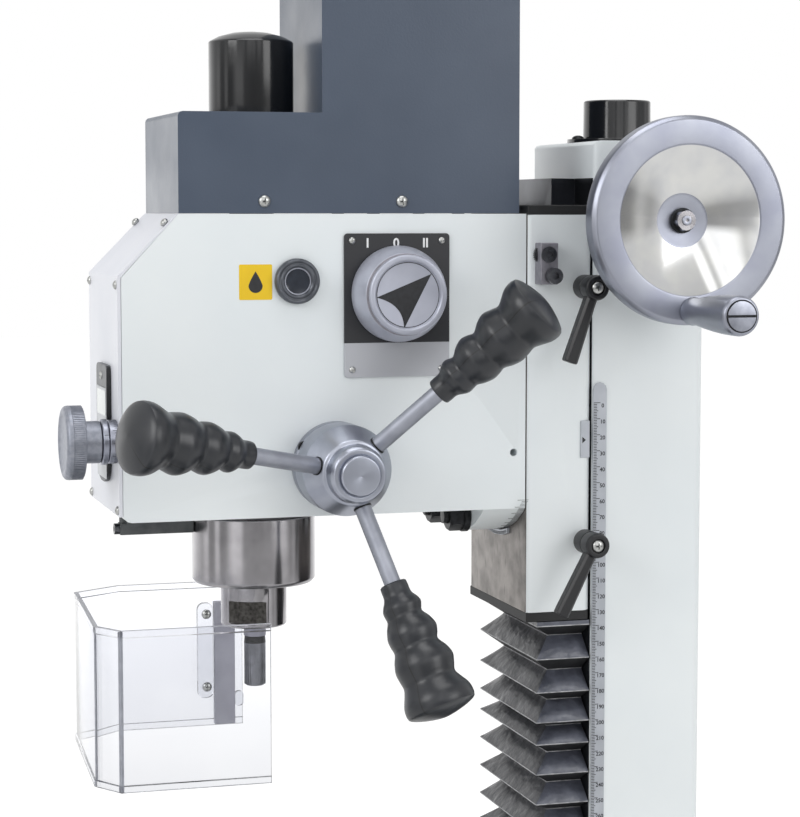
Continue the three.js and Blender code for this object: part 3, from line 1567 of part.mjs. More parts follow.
// Chip guard on its arm, the clamp knob, and the post on the far side of the head
const guard = groupAt(tilt, post_x, post_y, 0);
const guard_path = [
  [guard_half_width, guard_near_end_y],
  [guard_half_width, guard_corner_y],
  [guard_corner_x, guard_front_y],
  [-guard_corner_x, guard_front_y],
  [-guard_half_width, guard_corner_y],
  [-guard_half_width, guard_far_end_y],
].map(([x, y]) => [x - post_x, y - post_y]);
piece(
  guard, "chip_guard", prism("z", bentSheet(guard_path, -guard_wall), guard_bottom_z, guard_top_z),
  clear_plastic,
);
const bar_outer_x = -guard_half_width + guard_wall - post_x;
let guard_arm = block(
  bar_outer_x, bar_outer_x + guard_bar_thickness, guard_bar_front_y - post_y, guard_bar_back_y - post_y,
  guard_bar_bottom_z, guard_bar_top_z,
);
const arm_top_z = guard_bar_top_z;
const arm_low_z = arm_top_z - guard_arm_height;
guard_arm = guard_arm.add(block(
  bar_outer_x, guard_arm_half_width, guard_bar_front_y - post_y, 0, arm_low_z, arm_top_z,
));
guard_arm = guard_arm.add(rod("z", guard_arm_half_width, arm_low_z, arm_top_z, 0, 0, faces_medium));
guard_arm = guard_arm.subtract(rod(
  "z", boreRadius(post_radius, faces_small), arm_low_z - overrun, arm_top_z + overrun, 0, 0,
));
piece(guard, "guard_arm", guard_arm, grey_plastic);
piece(tilt, "guard_knob", turned("z", [
  [0, guard_knob_bottom_z],
  [guard_knob_radius - overrun, guard_knob_bottom_z],
  [guard_knob_radius, guard_knob_bottom_z + overrun],
  [guard_knob_radius, guard_knob_top_z],
  [0, guard_knob_top_z],
], faces_small, post_x, post_y), satin_steel);
let guard_post = rod("z", post_radius, post_bottom_z, post_top_z, post_x, post_y);
guard_post = guard_post.add(prism("z", outline([
  [post_mount_left_x, post_mount_front_y, post_radius],
  [-head_half_width, post_mount_front_y],
  [-head_half_width, post_mount_back_y],
  [post_mount_left_x, post_mount_back_y, post_radius],
]), post_mount_bottom_z, post_mount_top_z));
guard_post = guard_post.add(rod(
  "z", guard_knob_radius, guard_knob_top_z, arm_low_z - clearance, post_x, post_y,
));
piece(tilt, "guard_post", guard_post, dark_steel);

// Cross slide on the base way, with its nuts above and below
const cross = groupAt(machine, 0, 0, 0);
const slide_low = base_height + clearance;
const x_way_bottom = slide_top - x_way_height;
const x_screw_z = slide_top - x_screw_below_table;
let cross_slide = prism(
  "z",
  rectangle(-slide_half_width, slide_half_width, -slide_half_depth, slide_half_depth, slide_corner_radius),
  slide_low, slide_top,
);
cross_slide = cross_slide.subtract(prism(
  "y", dovetail(y_way_half_width, y_way_root_half_width, y_way_top, base_height, way_gap),
  -slide_half_depth - overrun, slide_half_depth + overrun,
));
cross_slide = cross_slide.subtract(prism(
  "x", dovetail(x_way_half_width, x_way_root_half_width, x_way_bottom, slide_top, way_gap),
  -slide_half_width - overrun, slide_half_width + overrun,
));
cross_slide = cross_slide.add(block(
  -y_nut_half_width, y_nut_half_width, -y_nut_half_depth, y_nut_half_depth, y_screw_height - y_nut_drop,
  y_way_top + overrun * 2,
));
cross_slide = cross_slide.subtract(rod(
  "y", y_screw_radius + clearance, -y_nut_half_depth - overrun, y_nut_half_depth + overrun, 0,
  y_screw_height,
));
cross_slide = cross_slide.add(block(
  -x_nut_half_length, x_nut_half_length, -x_nut_radius, x_nut_radius, x_way_bottom - overrun,
  x_screw_z + x_nut_radius,
));
cross_slide = cross_slide.subtract(rod(
  "x", x_screw_radius + clearance, -x_nut_half_length - overrun, x_nut_half_length + overrun, 0, x_screw_z,
));
piece(cross, "cross_slide", cross_slide, white_paint);

// Table: tee slots on top, a dovetail and a screw channel below, a bracket at each end
const table_group = groupAt(cross, 0, 0, 0);
const table_low = slide_top + clearance;
const table_top = table_low + table_height;
let table = prism(
  "z",
  rectangle(
    -table_half_length, table_half_length, -table_half_depth, table_half_depth, table_corner_radius,
  ),
  table_low, table_top,
);
table = table.add(prism(
  "x", dovetail(x_way_half_width, x_way_root_half_width, x_way_bottom, table_low, 0), -table_half_length,
  table_half_length,
));
const bracket_half_length = table_half_length + x_bracket_thickness;
for (const side of [-1, 1]) {
  const inner = side * (table_half_length - overrun);
  const outer = side * bracket_half_length;
  table = table.add(prism(
    "x",
    rectangle(
      -x_bracket_half_depth, x_bracket_half_depth, x_way_bottom, table_top - slot_depth - clearance,
      table_corner_radius,
    ),
    Math.min(inner, outer), Math.max(inner, outer),
  ));
}
table = table.subtract(block(
  -table_half_length, table_half_length, -x_channel_half_width, x_channel_half_width,
  x_way_bottom - overrun, x_screw_z + x_nut_radius + x_channel_roof / 2,
));
table = table.subtract(rod(
  "x", x_screw_journal_radius + clearance, -bracket_half_length - overrun, bracket_half_length + overrun, 0,
  x_screw_z,
));
for (const row of [-1, 0, 1]) {
  const middle = row * slot_pitch;
  table = table.subtract(block(
    -table_half_length - overrun, table_half_length + overrun, middle - slot_width / 2,
    middle + slot_width / 2, table_top - slot_depth, table_top + overrun,
  ));
  table = table.subtract(block(
    -table_half_length - overrun, table_half_length + overrun, middle - slot_foot_width / 2,
    middle + slot_foot_width / 2, table_top - slot_depth, table_top - slot_depth + slot_foot_height,
  ));
}
piece(table_group, "table", table, ground_iron);

// Feed screws of the table and cross slide with their handwheels
const x_screw_group = groupAt(table_group, 0, 0, x_screw_z);
const x_journal_end = bracket_half_length + small_wheel_gap + small_wheel_hub_length;
let x_screw = rod("x", x_screw_radius, -table_half_length + clearance, table_half_length - clearance, 0, 0);
x_screw = x_screw.add(rod("x", x_screw_journal_radius, -x_journal_end, x_journal_end, 0, 0));
piece(x_screw_group, "x_screw", x_screw, bright_steel);
const small_dish_depth = small_wheel_hub_length / 3;
const small_dish_share = 0.74;
const small_neck_share = 0.7;
function smallWheel(parent, name, shaft_radius, x, turn) {
  const group = groupAt(parent, 0, 0, 0);
  group.rotation.z = turn;
  const face_x = x + small_wheel_hub_length + small_dish_depth;
  let wheel = handwheel(
    small_wheel_radius, small_wheel_rim, small_wheel_radius * small_dish_share, small_dish_depth,
    small_wheel_hub_radius, small_wheel_hub_length, shaft_radius, faces_medium,
  );
  const handle_z = -small_wheel_radius + small_handle_radius * 1.5;
  const handle = crankHandle(
    small_handle_length + wheel_edge, small_handle_radius * small_neck_share, small_handle_radius, 0,
  );
  wheel = wheel.add(handle.translate(-wheel_edge, 0, handle_z));
  const mesh = piece(group, name, wheel, satin_steel);
  mesh.position.x = face_x;
  return mesh;
}
const wheel_start_x = bracket_half_length + clearance;
smallWheel(x_screw_group, "x_handwheel_right", x_screw_journal_radius, wheel_start_x, 0);
smallWheel(x_screw_group, "x_handwheel_left", x_screw_journal_radius, wheel_start_x, Math.PI);
const y_screw_group = groupAt(machine, 0, 0, y_screw_height);
const y_bearing_front = base_front_y - y_bearing_length;
let y_screw = rod("y", y_screw_radius, y_channel_front_y + clearance, y_channel_back_y - clearance, 0, 0);
y_screw = y_screw.add(rod(
  "y", y_screw_journal_radius, y_bearing_front - small_wheel_gap - small_wheel_hub_length,
  y_channel_front_y + overrun, 0, 0,
));
piece(y_screw_group, "y_screw", y_screw, bright_steel);
smallWheel(
  y_screw_group, "y_handwheel", y_screw_journal_radius, -y_bearing_front + clearance, -Math.PI / 2,
);

export default machine;
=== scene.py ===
import math

import bmesh
import bpy
from mathutils import Matrix, Vector, noise


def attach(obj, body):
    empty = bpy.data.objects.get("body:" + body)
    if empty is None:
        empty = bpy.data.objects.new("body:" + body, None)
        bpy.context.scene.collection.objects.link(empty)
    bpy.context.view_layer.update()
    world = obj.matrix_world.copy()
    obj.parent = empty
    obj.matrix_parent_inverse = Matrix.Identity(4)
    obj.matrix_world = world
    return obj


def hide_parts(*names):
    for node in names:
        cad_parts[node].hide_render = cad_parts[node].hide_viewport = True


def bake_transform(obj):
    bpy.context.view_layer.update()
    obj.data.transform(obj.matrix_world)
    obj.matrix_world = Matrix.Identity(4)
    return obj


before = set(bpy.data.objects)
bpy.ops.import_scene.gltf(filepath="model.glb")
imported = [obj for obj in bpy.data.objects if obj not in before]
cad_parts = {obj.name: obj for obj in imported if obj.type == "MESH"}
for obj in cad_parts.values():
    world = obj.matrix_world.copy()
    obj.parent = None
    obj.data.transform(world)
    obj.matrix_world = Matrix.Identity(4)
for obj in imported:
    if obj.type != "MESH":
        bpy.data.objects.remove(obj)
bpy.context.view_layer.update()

# Camera: a long lens at the height of the head, a little in front of the machine's right side.
# Everything below is worked in millimetres and turned to metres when a mesh is made.
MM = 0.001
yaw, pitch = math.radians(16.367), math.radians(4.879)
camera_data = bpy.data.cameras.new("camera")
camera_data.sensor_fit = "HORIZONTAL"
camera_data.sensor_width = 36
camera_data.lens = 103.6
camera_data.clip_end = 60
camera = bpy.data.objects.new("camera", camera_data)
bpy.context.scene.collection.objects.link(camera)
camera.location = (1.3898, -0.3130, 0.8351)
look = Vector((-math.cos(yaw) * math.cos(pitch), math.sin(yaw) * math.cos(pitch), -math.sin(pitch)))
camera.rotation_euler = look.to_track_quat("-Z", "Y").to_euler()
bpy.context.scene.camera = camera


# Floor and light: a pale seamless floor, a white backdrop and soft lamps.
# The metal sees a room with a white backdrop, lit strips and dark gaps between them.
def linear(code):
    """A colour written as sRGB hex, as the linear colour that a shader takes."""
    parts = [int(code[i:i + 2], 16) / 255 for i in (1, 3, 5)]
    return tuple(c / 12.92 if c <= 0.04045 else ((c + 0.055) / 1.055) ** 2.4 for c in parts) + (1,)


def add_node(tree, kind, inputs=None, **settings):
    """Adds one node: settings are its own options, inputs are values or the sockets that feed it."""
    node = tree.nodes.new(kind)
    for option, value in settings.items():
        setattr(node, option, value)
    for socket, value in (inputs or {}).items():
        if isinstance(value, bpy.types.NodeSocket):
            tree.links.new(value, node.inputs[socket])
        else:
            node.inputs[socket].default_value = value
    return node


def maths(tree, kind, one, other=0.0, third=0.0):
    """A number worked out from others, as the socket that gives it."""
    return add_node(tree, "ShaderNodeMath", {0: one, 1: other, 2: third}, operation=kind).outputs[0]


def mix(tree, share, one, other, kind="FLOAT"):
    """A blend of two numbers or, with the kind RGBA, of two colours."""
    first, second, out = (6, 7, 2) if kind == "RGBA" else (2, 3, 0)
    return add_node(tree, "ShaderNodeMix", {0: share, first: one, second: other}, data_type=kind).outputs[out]


def ranged(tree, value, low, high, to_low=0.0, to_high=1.0):
    """A number that goes from to_low to to_high as value goes from low to high."""
    limits = {"Value": value, "From Min": low, "From Max": high, "To Min": to_low, "To Max": to_high}
    return add_node(tree, "ShaderNodeMapRange", limits).outputs[0]


def new_material(name, colour, roughness, metallic=0.0, ior=None):
    """A material with its uniform values on the shader's own sockets."""
    material = bpy.data.materials.new(name)
    material.use_nodes = True
    surface = material.node_tree.nodes["Principled BSDF"]
    surface.inputs["Base Color"].default_value = linear(colour)
    surface.inputs["Roughness"].default_value = roughness
    surface.inputs["Metallic"].default_value = metallic
    if ior:
        surface.inputs["IOR"].default_value = ior
    return material, material.node_tree, surface


def strips(tree, place, levels):
    """Light and dark strips round the room, by the bearing of a direction or of a spot."""
    split = add_node(tree, "ShaderNodeSeparateXYZ", {0: place}).outputs
    turn = ranged(tree, maths(tree, "ARCTAN2", split["Y"], split["X"]), -math.pi, math.pi)
    chart = add_node(tree, "ShaderNodeValToRGB", {0: turn})
    for number, (degrees, level) in enumerate(levels):
        stop = chart.color_ramp.elements[number] if number < 2 else chart.color_ramp.elements.new(0.999)
        stop.position = (degrees + 180) / 360
        stop.color = (level, level, level, 1)
    return chart.outputs[0]


def add_object(name, data):
    """A new object that shows a mesh, a lamp or a camera."""
    thing = bpy.data.objects.new(name, data)
    bpy.context.scene.collection.objects.link(thing)
    return thing


world = bpy.data.worlds.new("studio")
bpy.context.scene.world = world
world.use_nodes = True
room = world.node_tree
sky = room.nodes["Background"]
direction = add_node(room, "ShaderNodeTexCoord").outputs["Generated"]
rise = add_node(room, "ShaderNodeSeparateXYZ", {0: direction}).outputs["Z"]
# The strips as (bearing in degrees, level). The low ones stand in upright metal, the upper ones
# give the streaks in the handwheel's polished dish.
wall_levels = [(-180, 0.95), (-150, 0.9), (-122, 0.55), (-112, 0.9), (-106, 0.85), (-102, 0.3), (-90, 0.28),
               (-86, 0.85), (-80, 0.8), (-76, 0.22), (-64, 0.28), (-58, 0.6), (-50, 0.95), (-36, 0.9),
               (-30, 0.34), (-8, 0.24), (24, 0.3), (33, 0.62), (50, 0.6), (60, 0.22), (68, 0.5), (72, 0.16),
               (84, 0.16), (88, 0.5), (98, 0.5), (102, 0.16), (108, 0.16), (114, 0.55), (135, 0.8),
               (160, 0.95), (180, 0.95)]
upper_levels = [(-180, 0.5), (-50, 0.55), (-33, 0.6), (-32, 0.95), (-30, 0.95), (-29.4, 0.32), (-28.6, 0.95),
                (-27.4, 0.85), (-26.8, 0.25), (-24, 0.32), (-23, 0.9), (-18, 1.0), (-10, 1.0), (-9.2, 0.45),
                (-7.6, 0.98), (-1, 1.0), (0.4, 0.42), (4.6, 0.4), (6, 1.0), (14, 1.0), (16, 0.46),
                (60, 0.48), (180, 0.5)]
low_walls = strips(room, direction, wall_levels)
high_walls = strips(room, direction, upper_levels)
both_walls = mix(room, ranged(room, rise, 0.06, 0.2), low_walls, high_walls, "RGBA")
wall_gain = maths(room, "MULTIPLY", both_walls, 1.75)
room_light = maths(room, "MULTIPLY", wall_gain, ranged(room, rise, 0.72, 1.0, 1.0, 0.5))
rays = add_node(room, "ShaderNodeLightPath").outputs
seen = maths(room, "MAXIMUM", rays["Is Camera Ray"], rays["Is Transmission Ray"])
soft_level = 0.67
lit = mix(room, rays["Is Glossy Ray"], soft_level, room_light)
sky.inputs["Color"].default_value = linear("#ffffff")
room.links.new(mix(room, seen, lit, 1.0), sky.inputs["Strength"])

# Matt paper: a warm white that takes a soft shadow. The camera sees it glow into the backdrop,
# and polished metal sees the room's strips carried on across it.
paper, paper_tree, paper_surface = new_material("matt_paper_floor", "#f4f4f2", 0.9)
paper_grain = add_node(paper_tree, "ShaderNodeTexNoise", {"Scale": 40, "Detail": 4}).outputs[0]
paper_relief = {"Strength": 0.05, "Distance": 0.001, "Height": paper_grain}
paper_bump = add_node(paper_tree, "ShaderNodeBump", paper_relief)
paper_tree.links.new(paper_bump.outputs[0], paper_surface.inputs["Normal"])
paper_rays = add_node(paper_tree, "ShaderNodeLightPath").outputs
paper_spot = add_node(paper_tree, "ShaderNodeTexCoord").outputs["Object"]
paper_reach = add_node(paper_tree, "ShaderNodeVectorMath", {0: paper_spot},
                       operation="LENGTH").outputs["Value"]
paper_strips = strips(paper_tree, paper_spot, wall_levels)
paper_mirrored = mix(paper_tree, ranged(paper_tree, paper_reach, 1.6, 3.4), 0.62, paper_strips)
paper_gain = maths(paper_tree, "MULTIPLY", paper_mirrored, 1.6)
paper_level = mix(paper_tree, paper_rays["Is Glossy Ray"], 1.36, paper_gain)
paper_glow = add_node(paper_tree, "ShaderNodeEmission", {"Color": linear("#ffffff"), "Strength": paper_level})
paper_seen = maths(paper_tree, "MAXIMUM", paper_rays["Is Camera Ray"], paper_rays["Is Transmission Ray"])
paper_veil = maths(paper_tree, "MULTIPLY", paper_seen, 0.55)
paper_share = mix(paper_tree, paper_rays["Is Glossy Ray"], paper_veil, 0.9)
paper_parts = {0: paper_share, 1: paper_surface.outputs[0], 2: paper_glow.outputs[0]}
paper_mix = add_node(paper_tree, "ShaderNodeMixShader", paper_parts)
paper_tree.links.new(paper_mix.outputs[0], paper_tree.nodes["Material Output"].inputs["Surface"])
floor_mesh = bpy.data.meshes.new("floor")
floor_mesh.from_pydata([(-14, -14, 0), (14, -14, 0), (14, 14, 0), (-14, 14, 0)], [], [(0, 1, 2, 3)])
floor_mesh.materials.append(paper)
floor = add_object("floor", floor_mesh)

lamps = [("key_softbox", (1.2, -2.4, 2.0), 1.3, 22), ("side_softbox", (2.4, 1.7, 1.6), 1.5, 19),
         ("top_softbox", (0.2, 0.1, 2.9), 1.4, 18)]
for lamp_name, place, size, power in lamps:
    lamp_data = bpy.data.lights.new(lamp_name, "AREA")
    lamp_data.size = size
    lamp_data.energy = power
    lamp = add_object(lamp_name, lamp_data)
    lamp.location = place
    lamp.rotation_euler = (Vector((0, 0.05, 0.75)) - Vector(place)).to_track_quat("-Z", "Y").to_euler()


# Base: a cast iron box, white enamelled all over, with the cross slide way ground on its top.
# The enamel is sprayed over filler, so it is smooth with a faint orange peel and soft edges.
def mottle(tree, surface, colour, shade, size):
    """Cloudy change between two near colours, size millimetres across."""
    place = add_node(tree, "ShaderNodeTexCoord").outputs["Object"]
    cloud = add_node(tree, "ShaderNodeTexNoise", {"Vector": place, "Scale": 1 / (size * MM), "Detail": 3})
    spread = ranged(tree, cloud.outputs[0], 0.35, 0.7)
    mixed = mix(tree, spread, linear(colour), linear(shade), "RGBA")
    tree.links.new(mixed, surface.inputs["Base Color"])
    return place


def grain(tree, surface, place, size, depth, stretch=(1, 1, 1)):
    """Bump of noise, size millimetres across and depth millimetres high, drawn out by stretch."""
    laid = add_node(tree, "ShaderNodeMapping", {"Vector": place, "Scale": stretch}).outputs[0]
    pattern = {"Vector": laid, "Scale": 1 / (size * MM), "Detail": 3}
    rough = add_node(tree, "ShaderNodeTexNoise", pattern).outputs[0]
    bump = add_node(tree, "ShaderNodeBump", {"Strength": 1.0, "Distance": depth * MM, "Height": rough})
    tree.links.new(bump.outputs[0], surface.inputs["Normal"])


def worn(tree, surface, place, size, low, high):
    """Roughness that wanders between two values, from handling and wiping."""
    cloud = add_node(tree, "ShaderNodeTexNoise", {"Vector": place, "Scale": 1 / (size * MM), "Detail": 4})
    spread = ranged(tree, cloud.outputs[0], 0.3, 0.7, low, high)
    tree.links.new(spread, surface.inputs["Roughness"])


def turning_marks(tree, surface, size, depth, spread):
    """Fine grooves round the piece, and the streaked highlight that they give."""
    chart = add_node(tree, "ShaderNodeUVMap", uv_map="turning")
    parts = add_node(tree, "ShaderNodeSeparateXYZ", {0: chart.outputs[0]})
    line = add_node(tree, "ShaderNodeCombineXYZ", {"X": parts.outputs["Y"]})
    groove = add_node(tree, "ShaderNodeTexNoise", {"Vector": line.outputs[0], "Scale": 1 / size, "Detail": 2})
    relief = {"Strength": 1.0, "Distance": depth * MM, "Height": groove.outputs[0]}
    bump = add_node(tree, "ShaderNodeBump", relief)
    tree.links.new(bump.outputs[0], surface.inputs["Normal"])
    tangent = add_node(tree, "ShaderNodeTangent", direction_type="UV_MAP", uv_map="turning")
    tree.links.new(tangent.outputs[0], surface.inputs["Tangent"])
    surface.inputs["Anisotropic"].default_value = spread
    surface.inputs["Anisotropic Rotation"].default_value = 0.25


def made_of(name, colour, roughness, clouds, metallic=0.0, ior=None, bumps=None, wear=None, marks=None,
            clear=0.0):
    """A whole material: clouds of two colours and, where given, bumps, worn spots or turning marks."""
    material, tree, surface = new_material(name, colour, roughness, metallic, ior)
    surface.inputs["Transmission Weight"].default_value = clear
    place = mottle(tree, surface, *clouds)
    if bumps:
        grain(tree, surface, place, *bumps)
    if wear:
        worn(tree, surface, place, *wear)
    if marks:
        turning_marks(tree, surface, *marks)
    return material


# Enamel, sprayed and stoved: a clear sheen over a cool white, with an orange peel 2 mm across.
enamel = made_of("white_enamel", "#e2e7ea", 0.34, ior=1.5, clouds=("#e4e9eb", "#dee4e7", 90),
                 bumps=(2.2, 0.012), wear=(45, 0.3, 0.4))
# Cast iron, surface ground: grey, fine lines along the machine's length.
ground = made_of("ground_cast_iron", "#8b8c8d", 0.34, metallic=0.9, clouds=("#8e8f90", "#77797b", 12),
                 bumps=(1.1, 0.02, (0.04, 1, 1)), wear=(30, 0.26, 0.42))


def plain_mesh(rough, name):
    """The evaluated mesh of an object, as a piece at the origin with no modifiers."""
    bpy.context.view_layer.update()
    graph = bpy.context.evaluated_depsgraph_get()
    final = rough.evaluated_get(graph)
    mesh = bpy.data.meshes.new_from_object(final, preserve_all_data_layers=True, depsgraph=graph)
    mesh.name = name
    mesh.transform(rough.matrix_world)
    bpy.data.objects.remove(rough)
    return add_object(name, mesh)


def skinned(shape, name, material, smooth):
    """An object from a bmesh, in one material, its faces smooth up to an angle in degrees."""
    mesh = bpy.data.meshes.new(name)
    shape.to_mesh(mesh)
    shape.free()
    mesh.materials.append(material)
    mesh.shade_smooth()
    mesh.set_sharp_from_angle(angle=math.radians(smooth))
    return add_object(name, mesh)


def ease_edges(rough, name, edge, angle, miter):
    """The piece with its sharp edges rounded by edge millimetres."""
    bevel = rough.modifiers.new("edges", "BEVEL")
    bevel.width = edge * MM
    bevel.segments = 2
    bevel.limit_method = "ANGLE"
    bevel.angle_limit = math.radians(angle)
    bevel.harden_normals = True
    bevel.miter_outer = miter
    return plain_mesh(rough, name)


def eased_copy(name, node, edge, material, body, adjust=None):
    """A copy of a CAD node, adjusted if need be, that stands for it with rounded edges."""
    shape = bmesh.new()
    shape.from_mesh(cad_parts[node].data)
    bmesh.ops.remove_doubles(shape, verts=shape.verts, dist=0.01 * MM)
    bmesh.ops.dissolve_limit(shape, angle_limit=math.radians(0.6), verts=shape.verts, edges=shape.edges,
                             delimit={"NORMAL"})
    if adjust:
        adjust(shape)
    piece = ease_edges(skinned(shape, name + "_rough", material, 38), name, edge, 38, "MITER_ARC")
    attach(piece, body)
    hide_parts(node)
    return piece


def paint_faces(piece, material, test):
    """Gives a second material to the faces whose middle and normal pass a test, in millimetres."""
    piece.data.materials.append(material)
    number = len(piece.data.materials) - 1
    for face in piece.data.polygons:
        if test(face.center / MM, face.normal):
            face.material_index = number


def cut_across(shape, axis, place):
    """Divides the faces of a shape where they cross a place along an axis."""
    normal = Vector([1.0 if k == axis else 0.0 for k in range(3)])
    everything = shape.verts[:] + shape.edges[:] + shape.faces[:]
    bmesh.ops.bisect_plane(shape, geom=everything, plane_co=normal * place * MM, plane_no=normal)


base = eased_copy("base_casting", "base", 2.5, enamel, "stand")
paint_faces(base, ground, lambda at, normal: at.z > 95.5 and at.y > -230)


# Column: a hollow casting bolted down through its foot, enamelled, with the dovetail way ground.
# The way and the strip beside it are bare metal from the foot up to the column's head.
# The column scale's zero, from which the heights on the column and the head are given.
ZERO = 717
way_top = ZERO + 139
# The way's ground steel: dark and even, with fine lines down its length.
way_steel = made_of("ground_way", "#4c4e52", 0.3, metallic=0.9, clouds=("#505257", "#3d3f43", 25),
                    bumps=(1.0, 0.02, (1, 1, 0.03)))
column = eased_copy("column_casting", "column", 1.6, enamel, "stand",
                    adjust=lambda shape: cut_across(shape, 2, way_top))
paint_faces(column, way_steel, lambda at, normal: at.y < 204.5 and 115 < at.z < way_top and abs(at.x) < 55)
eased_copy("rear_cover", "column_cover", 0.8, enamel, "stand")


# Screws: steel, zinc plated or blackened, each with a domed or straight head and a socket.
# One tree makes a pan head with a cross slot, one a cap head with a hexagon socket.
def open_tree(name, sizes, whole=(), others=()):
    """A tree that takes points and values: also gives its inputs, and the sizes turned to metres."""
    tree = bpy.data.node_groups.new(name, "GeometryNodeTree")
    kinds = [("Geometry", "Geometry")] + [(label, "Int") for label in whole]
    kinds += [(label, "Float") for label in sizes + others]
    kinds += [("Direction", "Vector"), ("Finish", "Material")]
    for label, kind in kinds:
        tree.interface.new_socket(label, in_out="INPUT", socket_type="NodeSocket" + kind)
    tree.interface.new_socket("Geometry", in_out="OUTPUT", socket_type="NodeSocketGeometry")
    given = add_node(tree, "NodeGroupInput").outputs
    return tree, given, [maths(tree, "MULTIPLY", given[label], MM) for label in sizes]


def spread_out(tree, given, item):
    """Ends a tree: sets the item on every point, facing the direction, real and in its material."""
    turn = add_node(tree, "FunctionNodeAlignRotationToVector", {"Vector": given["Direction"]}, axis="Z")
    placing = {"Points": given["Geometry"], "Instance": item, "Rotation": turn.outputs[0]}
    placed = add_node(tree, "GeometryNodeInstanceOnPoints", placing).outputs[0]
    real = add_node(tree, "GeometryNodeRealizeInstances", {"Geometry": placed}).outputs[0]
    finished = add_node(tree, "GeometryNodeSetMaterial", {"Geometry": real, "Material": given["Finish"]})
    add_node(tree, "NodeGroupOutput", {0: finished.outputs[0]})
    return tree


def shifted(tree, geometry, height):
    """A geometry moved up by a height."""
    offset = add_node(tree, "ShaderNodeCombineXYZ", {"Z": height}).outputs[0]
    return add_node(tree, "GeometryNodeTransform", {"Geometry": geometry, "Translation": offset}).outputs[0]


HEAD_SIZES = ("Head radius", "Head height", "Socket radius", "Socket depth")


def screw_tree(name, cross):
    """A tree that sets a screw head on every point: a socket is cut in a round head."""
    tree, given, (radius, height, socket_radius, socket_depth) = open_tree(name, HEAD_SIZES)
    deep = maths(tree, "MULTIPLY", socket_depth, 2.0)
    if cross:
        dome = {"Segments": 28, "Rings": 14, "Radius": radius}
        ball = add_node(tree, "GeometryNodeMeshUVSphere", dome).outputs[0]
        flat = maths(tree, "DIVIDE", height, radius)
        squeeze = add_node(tree, "ShaderNodeCombineXYZ", {"X": 1.0, "Y": 1.0, "Z": flat}).outputs[0]
        head = add_node(tree, "GeometryNodeTransform", {"Geometry": ball, "Scale": squeeze}).outputs[0]
        reach = maths(tree, "MULTIPLY", socket_radius, 2.0)
        width = maths(tree, "MULTIPLY", socket_radius, 0.42)
        cutters = []
        for long_side, short_side in (("X", "Y"), ("Y", "X")):
            size = add_node(tree, "ShaderNodeCombineXYZ", {long_side: reach, short_side: width, "Z": deep})
            cutters.append(add_node(tree, "GeometryNodeMeshCube", {"Size": size.outputs[0]}).outputs[0])
    else:
        tube = {"Vertices": 28, "Radius": radius, "Depth": height}
        cylinder = add_node(tree, "GeometryNodeMeshCylinder", tube).outputs[0]
        head = shifted(tree, cylinder, maths(tree, "MULTIPLY", height, 0.5))
        hexagon = {"Vertices": 6, "Radius": socket_radius, "Depth": deep}
        cutters = [add_node(tree, "GeometryNodeMeshCylinder", hexagon).outputs[0]]
    for cutter in cutters:
        cut = add_node(tree, "GeometryNodeMeshBoolean", {"Mesh 1": head}, operation="DIFFERENCE")
        tree.links.new(shifted(tree, cutter, height), cut.inputs["Mesh 2"])
        head = cut.outputs[0]
    return spread_out(tree, given, head)


def from_tree(name, points, tree, values, body):
    """Runs a tree on points given in millimetres and keeps the result as a plain mesh."""
    mesh = bpy.data.meshes.new(name)
    mesh.from_pydata([Vector(p) * MM for p in points], [], [])
    rough = add_object(name + "_points", mesh)
    grown = rough.modifiers.new(name, "NODES")
    grown.node_group = tree
    for item in tree.interface.items_tree:
        if item.in_out == "INPUT" and item.name in values:
            grown[item.identifier] = values[item.name]
    piece = plain_mesh(rough, name)
    piece.data.shade_smooth()
    piece.data.set_sharp_from_angle(angle=math.radians(35))
    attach(piece, body)
    return piece


def screws(name, points, kind, sizes, direction, finish, body):
    """Screw heads on points: sizes are the head's radius and height and the socket's radius and depth."""
    values = {**dict(zip(HEAD_SIZES, sizes)), "Direction": direction, "Finish": finish}
    return from_tree(name, points, kind, values, body)


pan_heads = screw_tree("pan_head_screws", True)
cap_heads = screw_tree("cap_head_screws", False)
# Zinc plate on steel: bright and slightly warm, with a fine tumbled texture.
zinc = made_of("zinc_plated_steel", "#b4b5b3", 0.3, metallic=1.0, clouds=("#b9bab8", "#a9aaa8", 1.4),
               bumps=(0.5, 0.004))
# Black oxide on steel: nearly black, dull, with a faint oily sheen. The same black is painted as shade in the
# handle screw's slot and rim, round its head, round the feed arms where they enter the hub, and on the wheel
# stud.
oxide_and_painted_shade = made_of("black_oxide_steel_and_painted_shade", "#26272a", 0.42, metallic=0.7, clouds=("#2a2b2e", "#1b1c1e", 2.0),
                bumps=(0.6, 0.012))
screws("rear_cover_screws", [(x, 280.5, z) for x in (-40, 40) for z in (150, 380, 610, 840)], pan_heads,
       (3.6, 2.0, 1.7, 1.0), (0, 1, 0), zinc, "stand")
screws("foot_bolts", [(x, y, 113) for x in (-69, 69) for y in (208, 270)], cap_heads, (8.0, 10.0, 4.6, 5.0),
       (0, 0, 1), oxide_and_painted_shade, "stand")


